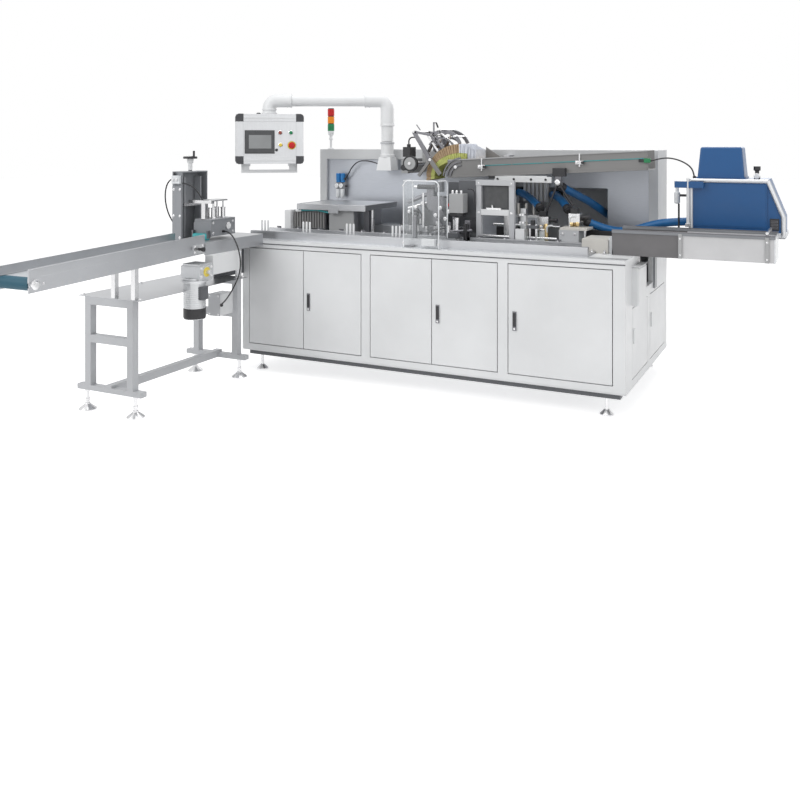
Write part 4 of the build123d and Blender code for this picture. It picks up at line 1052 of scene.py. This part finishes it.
def add_stand():
    """Plate, bolts and feet of the stand, and the junction box's cover."""
    stand = Piece("stand_fittings", "bright_steel")
    stand.boxes("steel", (-316, 166, -1185, -169, 664, 667))
    stand.bolts(UP, 9, *[(x, y, 667) for x in (-290, 140) for y in (-1160, -680, -190)])
    for x in (-256, 110):
        for y in (-1162.5, -187.5):
            stand.turned((x, y, 0), UP, ((52, 0), (52, 6), (46, 12), (26, 26), (16, 34),
                                         (16, 40)), "bright", 28)
            stand.turned((x, y, 0), UP, ((16, 52), (16, 66)), "bright", 6)
            stand.turned((x, y, 0), UP, ((16, 106), (16, 119)), "bright", 6)
    stand.done()
    box = Piece("junction_fittings", "white_paint")
    box.boxes("light_grey", (-17, 77, -354, -350, 428, 572))
    box.bolts(SOUTH, 4, *[(x, -354, z) for x in (-5, 65) for z in (440, 560)])
    box.turned((75, -340, 500), EAST, ((10, 0), (10, 10), (7, 14)), "black", 16)
    box.done()


def add_trough():
    """Rails, ties, stop rod and end rod of the infeed trough."""
    piece = Piece("trough_fittings", "grey_paint")
    for y in (249, 547):
        piece.boxes("tower_grey", (2487, 3382, y, y + 14, 1026, 1040))
        piece.boxes("dark_steel", (2487, 3382, y + 3, y + 11, 1040, 1046))
        piece.posts("dark_steel", (3340, y + 7, 1040, 1062, 8))
    for x in (2868, 3330):
        piece.boxes("housing_grey", (x, x + 20, 245, 251, DECK, 1036))
        piece.bolts(SOUTH, 4, (x + 10, 245, 915), (x + 10, 245, 1010))
    piece.rods("bright", ((3340, 240, 1060), (3340, 560, 1060), 8),
               ((2600, 262, 985), (3320, 262, 985), 6))
    piece.boxes("dark_steel", (2487, 2493, 255, 555, DECK, 925))
    piece.boxes("edge", (3376, 3383, 252, 558, 893, 1034))
    piece.boxes("bright", *[(2500, 3372, y, y + 12, 901, 905) for y in range(270, 550, 28)])
    piece.done()


def add_glue_unit():
    """Rim, tank cover, panel lines, gauge and lamps of the glue unit."""
    piece = Piece("glue_fittings", "blue_paint")
    piece.boxes("silver", (2868, 3420, 648, 964, 998, 1026))
    piece.boxes("blue", (2882, 3316, 650, 656, 1050, 1320), (2890, 3308, 648, 650, 1058, 1312),
                (2909, 3193, 680, 932, 1338, 1352), (2790, 2960, 612, 628, 1284, 1324))
    piece.boxes("black", (3330, 3380, 652, 656, 1040, 1110))
    piece.boxes("dark_steel", *[(3334, 3376, 650, 652, z, z + 4) for z in range(1050, 1104, 9)])
    piece.boxes("bright", (2855, 2884, 606, 634, 1046, 1066))
    piece.turned((3255, 720, 1340), UP, ((18, 0), (18, 20), (12, 24), (12, 50), (20, 54),
                                         (20, 78)), "black")
    piece.turned((3255, 702, 1360), SOUTH, ((18, 0), (18, 10)), "bright")
    piece.turned((3255, 692, 1360), SOUTH, ((15, 0), (15, 1)), "white")
    rim = ((2882, 650, 1012), (2882, 650, 1330), (3320, 650, 1330), (3404, 650, 1118),
           (3404, 650, 1012))
    for start, end in zip(rim, rim[1:]):
        piece.rods("silver", (start, end, 13))
        piece.turned(end, SOUTH, ((12, -10), (13, 0), (10, 8)), "silver", 16)
    piece.posts("white", (2869, 620, 1046, 1344, 9))
    piece.rods("bright", ((2869, 628, 1304), (2869, 660, 1304), 8))
    piece.rods("black", ((2876, 720, 1232), (2790, 720, 1232), 8),
               ((2800, 720, 1180), (2800, 720, 1010), 6))
    piece.turned((2790, 720, 1180), UP, ((12, 0), (18, 6), (18, 70), (10, 76), (10, 110),
                                         (14, 112), (14, 130)), "edge", 20)
    piece.turned((2896, 700, 1340), UP, ((10, 0), (10, 12), (6, 16)), "black", 16)
    piece.done(6)


def add_tank():
    """The tank's cover, tapered and rounded."""
    piece = Piece("tank_cover", "blue_paint")
    piece.skin([[at(x, y, z) for x, y in (
        (2915 + inset, 686 + inset), (3187 - inset, 686 + inset),
        (3187 - inset, 926 - inset), (2915 + inset, 926 - inset))]
        for inset, z in ((0, 1341), (0, 1352), (16, 1534))], "blue")
    cover = piece.done(26)
    cover.modifiers["soften"].segments = 5
    cover.modifiers["soften"].angle_limit = math.radians(40)
    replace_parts(cover, "glue_tank")


def add_back():
    """Screwed panels with louvres on the back and the left end."""
    piece = Piece("back_panels", "white_paint")
    for left in (60, 907, 1754):
        piece.boxes("white", (left, left + 806, 1370, 1373, 150, 860),
                    (left, left + 806, 1370, 1373, 930, 1470))
        piece.bolts(NORTH, 6, *[(left + x, 1373, z) for x in (24, 403, 782)
                                for z in (174, 836, 954, 1446)])
        for z in range(230, 428, 22):
            piece.prism(((left + 250, 1373, z), (left + 250, 1373, z + 12),
                         (left + 250, 1380, z)), (306, 0, 0), "white")
            # The thin dark strip above each louvre is painted shade for its slot.
            piece.boxes("dark", (left + 254, left + 552, 1373, 1374, z + 12, z + 15))
    piece.boxes("white", (-3, 0, 60, 1310, 150, 850))
    piece.bolts(WEST, 6, *[(-3, y, z) for y in (84, 685, 1286) for z in (174, 826)])
    piece.done(0.8)


def add_front():
    """Lines along the deck's front edge, and the notch cover."""
    piece = Piece("deck_edge", "white_paint")
    piece.boxes("dark", (0, 2620, -3, 0, 868, 874))
    piece.boxes("silver", (2, 2618, 2, 84, DECK, 898))
    piece.boxes("white", (2620, 2664, 176, 424, 838, 842))
    piece.done(0.8)


WIDEST_LOCK = 0.06       # metres; a door without a lock plate shows its whole face


def add_levers():
    """Levers on the doors' lock plates."""
    for door, node in NODES.items():
        if not door.startswith("door_"):
            continue
        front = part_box(door)[0][1]
        places = [node.matrix_world @ vertex.co for vertex in node.data.vertices]
        lock = [place.x for place in places if place.y < front + 0.001]
        if max(lock) - min(lock) > WIDEST_LOCK:
            continue
        lever = Piece(door + "_lever", "black_plastic", door,
                      ((min(lock) + max(lock)) / 2, front, 0.0))
        lever.boxes("dark_steel", (-12.5, 12.5, -2, 1, 446, 560))
        lever.boxes("black", (-9, 9, -6, -2, 470, 552))
        lever.turned((0, -2, 457), SOUTH, ((6, 0), (6, 4)), "bright", 16)
        lever.done(1)


add_camera()
for name, length, route in HOSES:
    add_cord(name, "hose", HOSE_R, route, True)
for name, length, route in CABLES:
    add_cord(name, "black", CABLE_R, route)
add_world()
add_floor()
add_lamp("key", (LEFT - 2.2, FRONT - 5.0, 4.6), (0.0, 0.4, 0.9), 4.0, 150.0)
add_lamp("fill", (RIGHT + 3.6, FRONT - 2.5, 3.2), (0.5, 0.6, 0.9), 3.5, 42.0)
add_lamp("top", (0.0, 0.6, 5.2), (0.0, 0.6, 0.9), 4.5, 100.0)
add_lamp("rim", (0.4, BACK + 4.0, 3.4), (0.0, 0.6, 0.9), 3.5, 60.0)
for node in NODES:
    dress(node, next((finish for finish, nodes in FINISHED.items() if node in nodes), "white"))
for add_part in (add_screen_arm, add_screen, add_signal_light, add_air_unit, add_feeder,
                 add_blanks, add_chute, add_clear_guard, add_guard_works, add_arch,
                 add_deck_works, add_guns, add_table, add_lane, add_tower, add_press,
                 add_conveyor, add_drive, add_stand, add_trough, add_glue_unit, add_tank,
                 add_back, add_front, add_levers):
    add_part()

SCENE.view_settings.view_transform = "Standard"
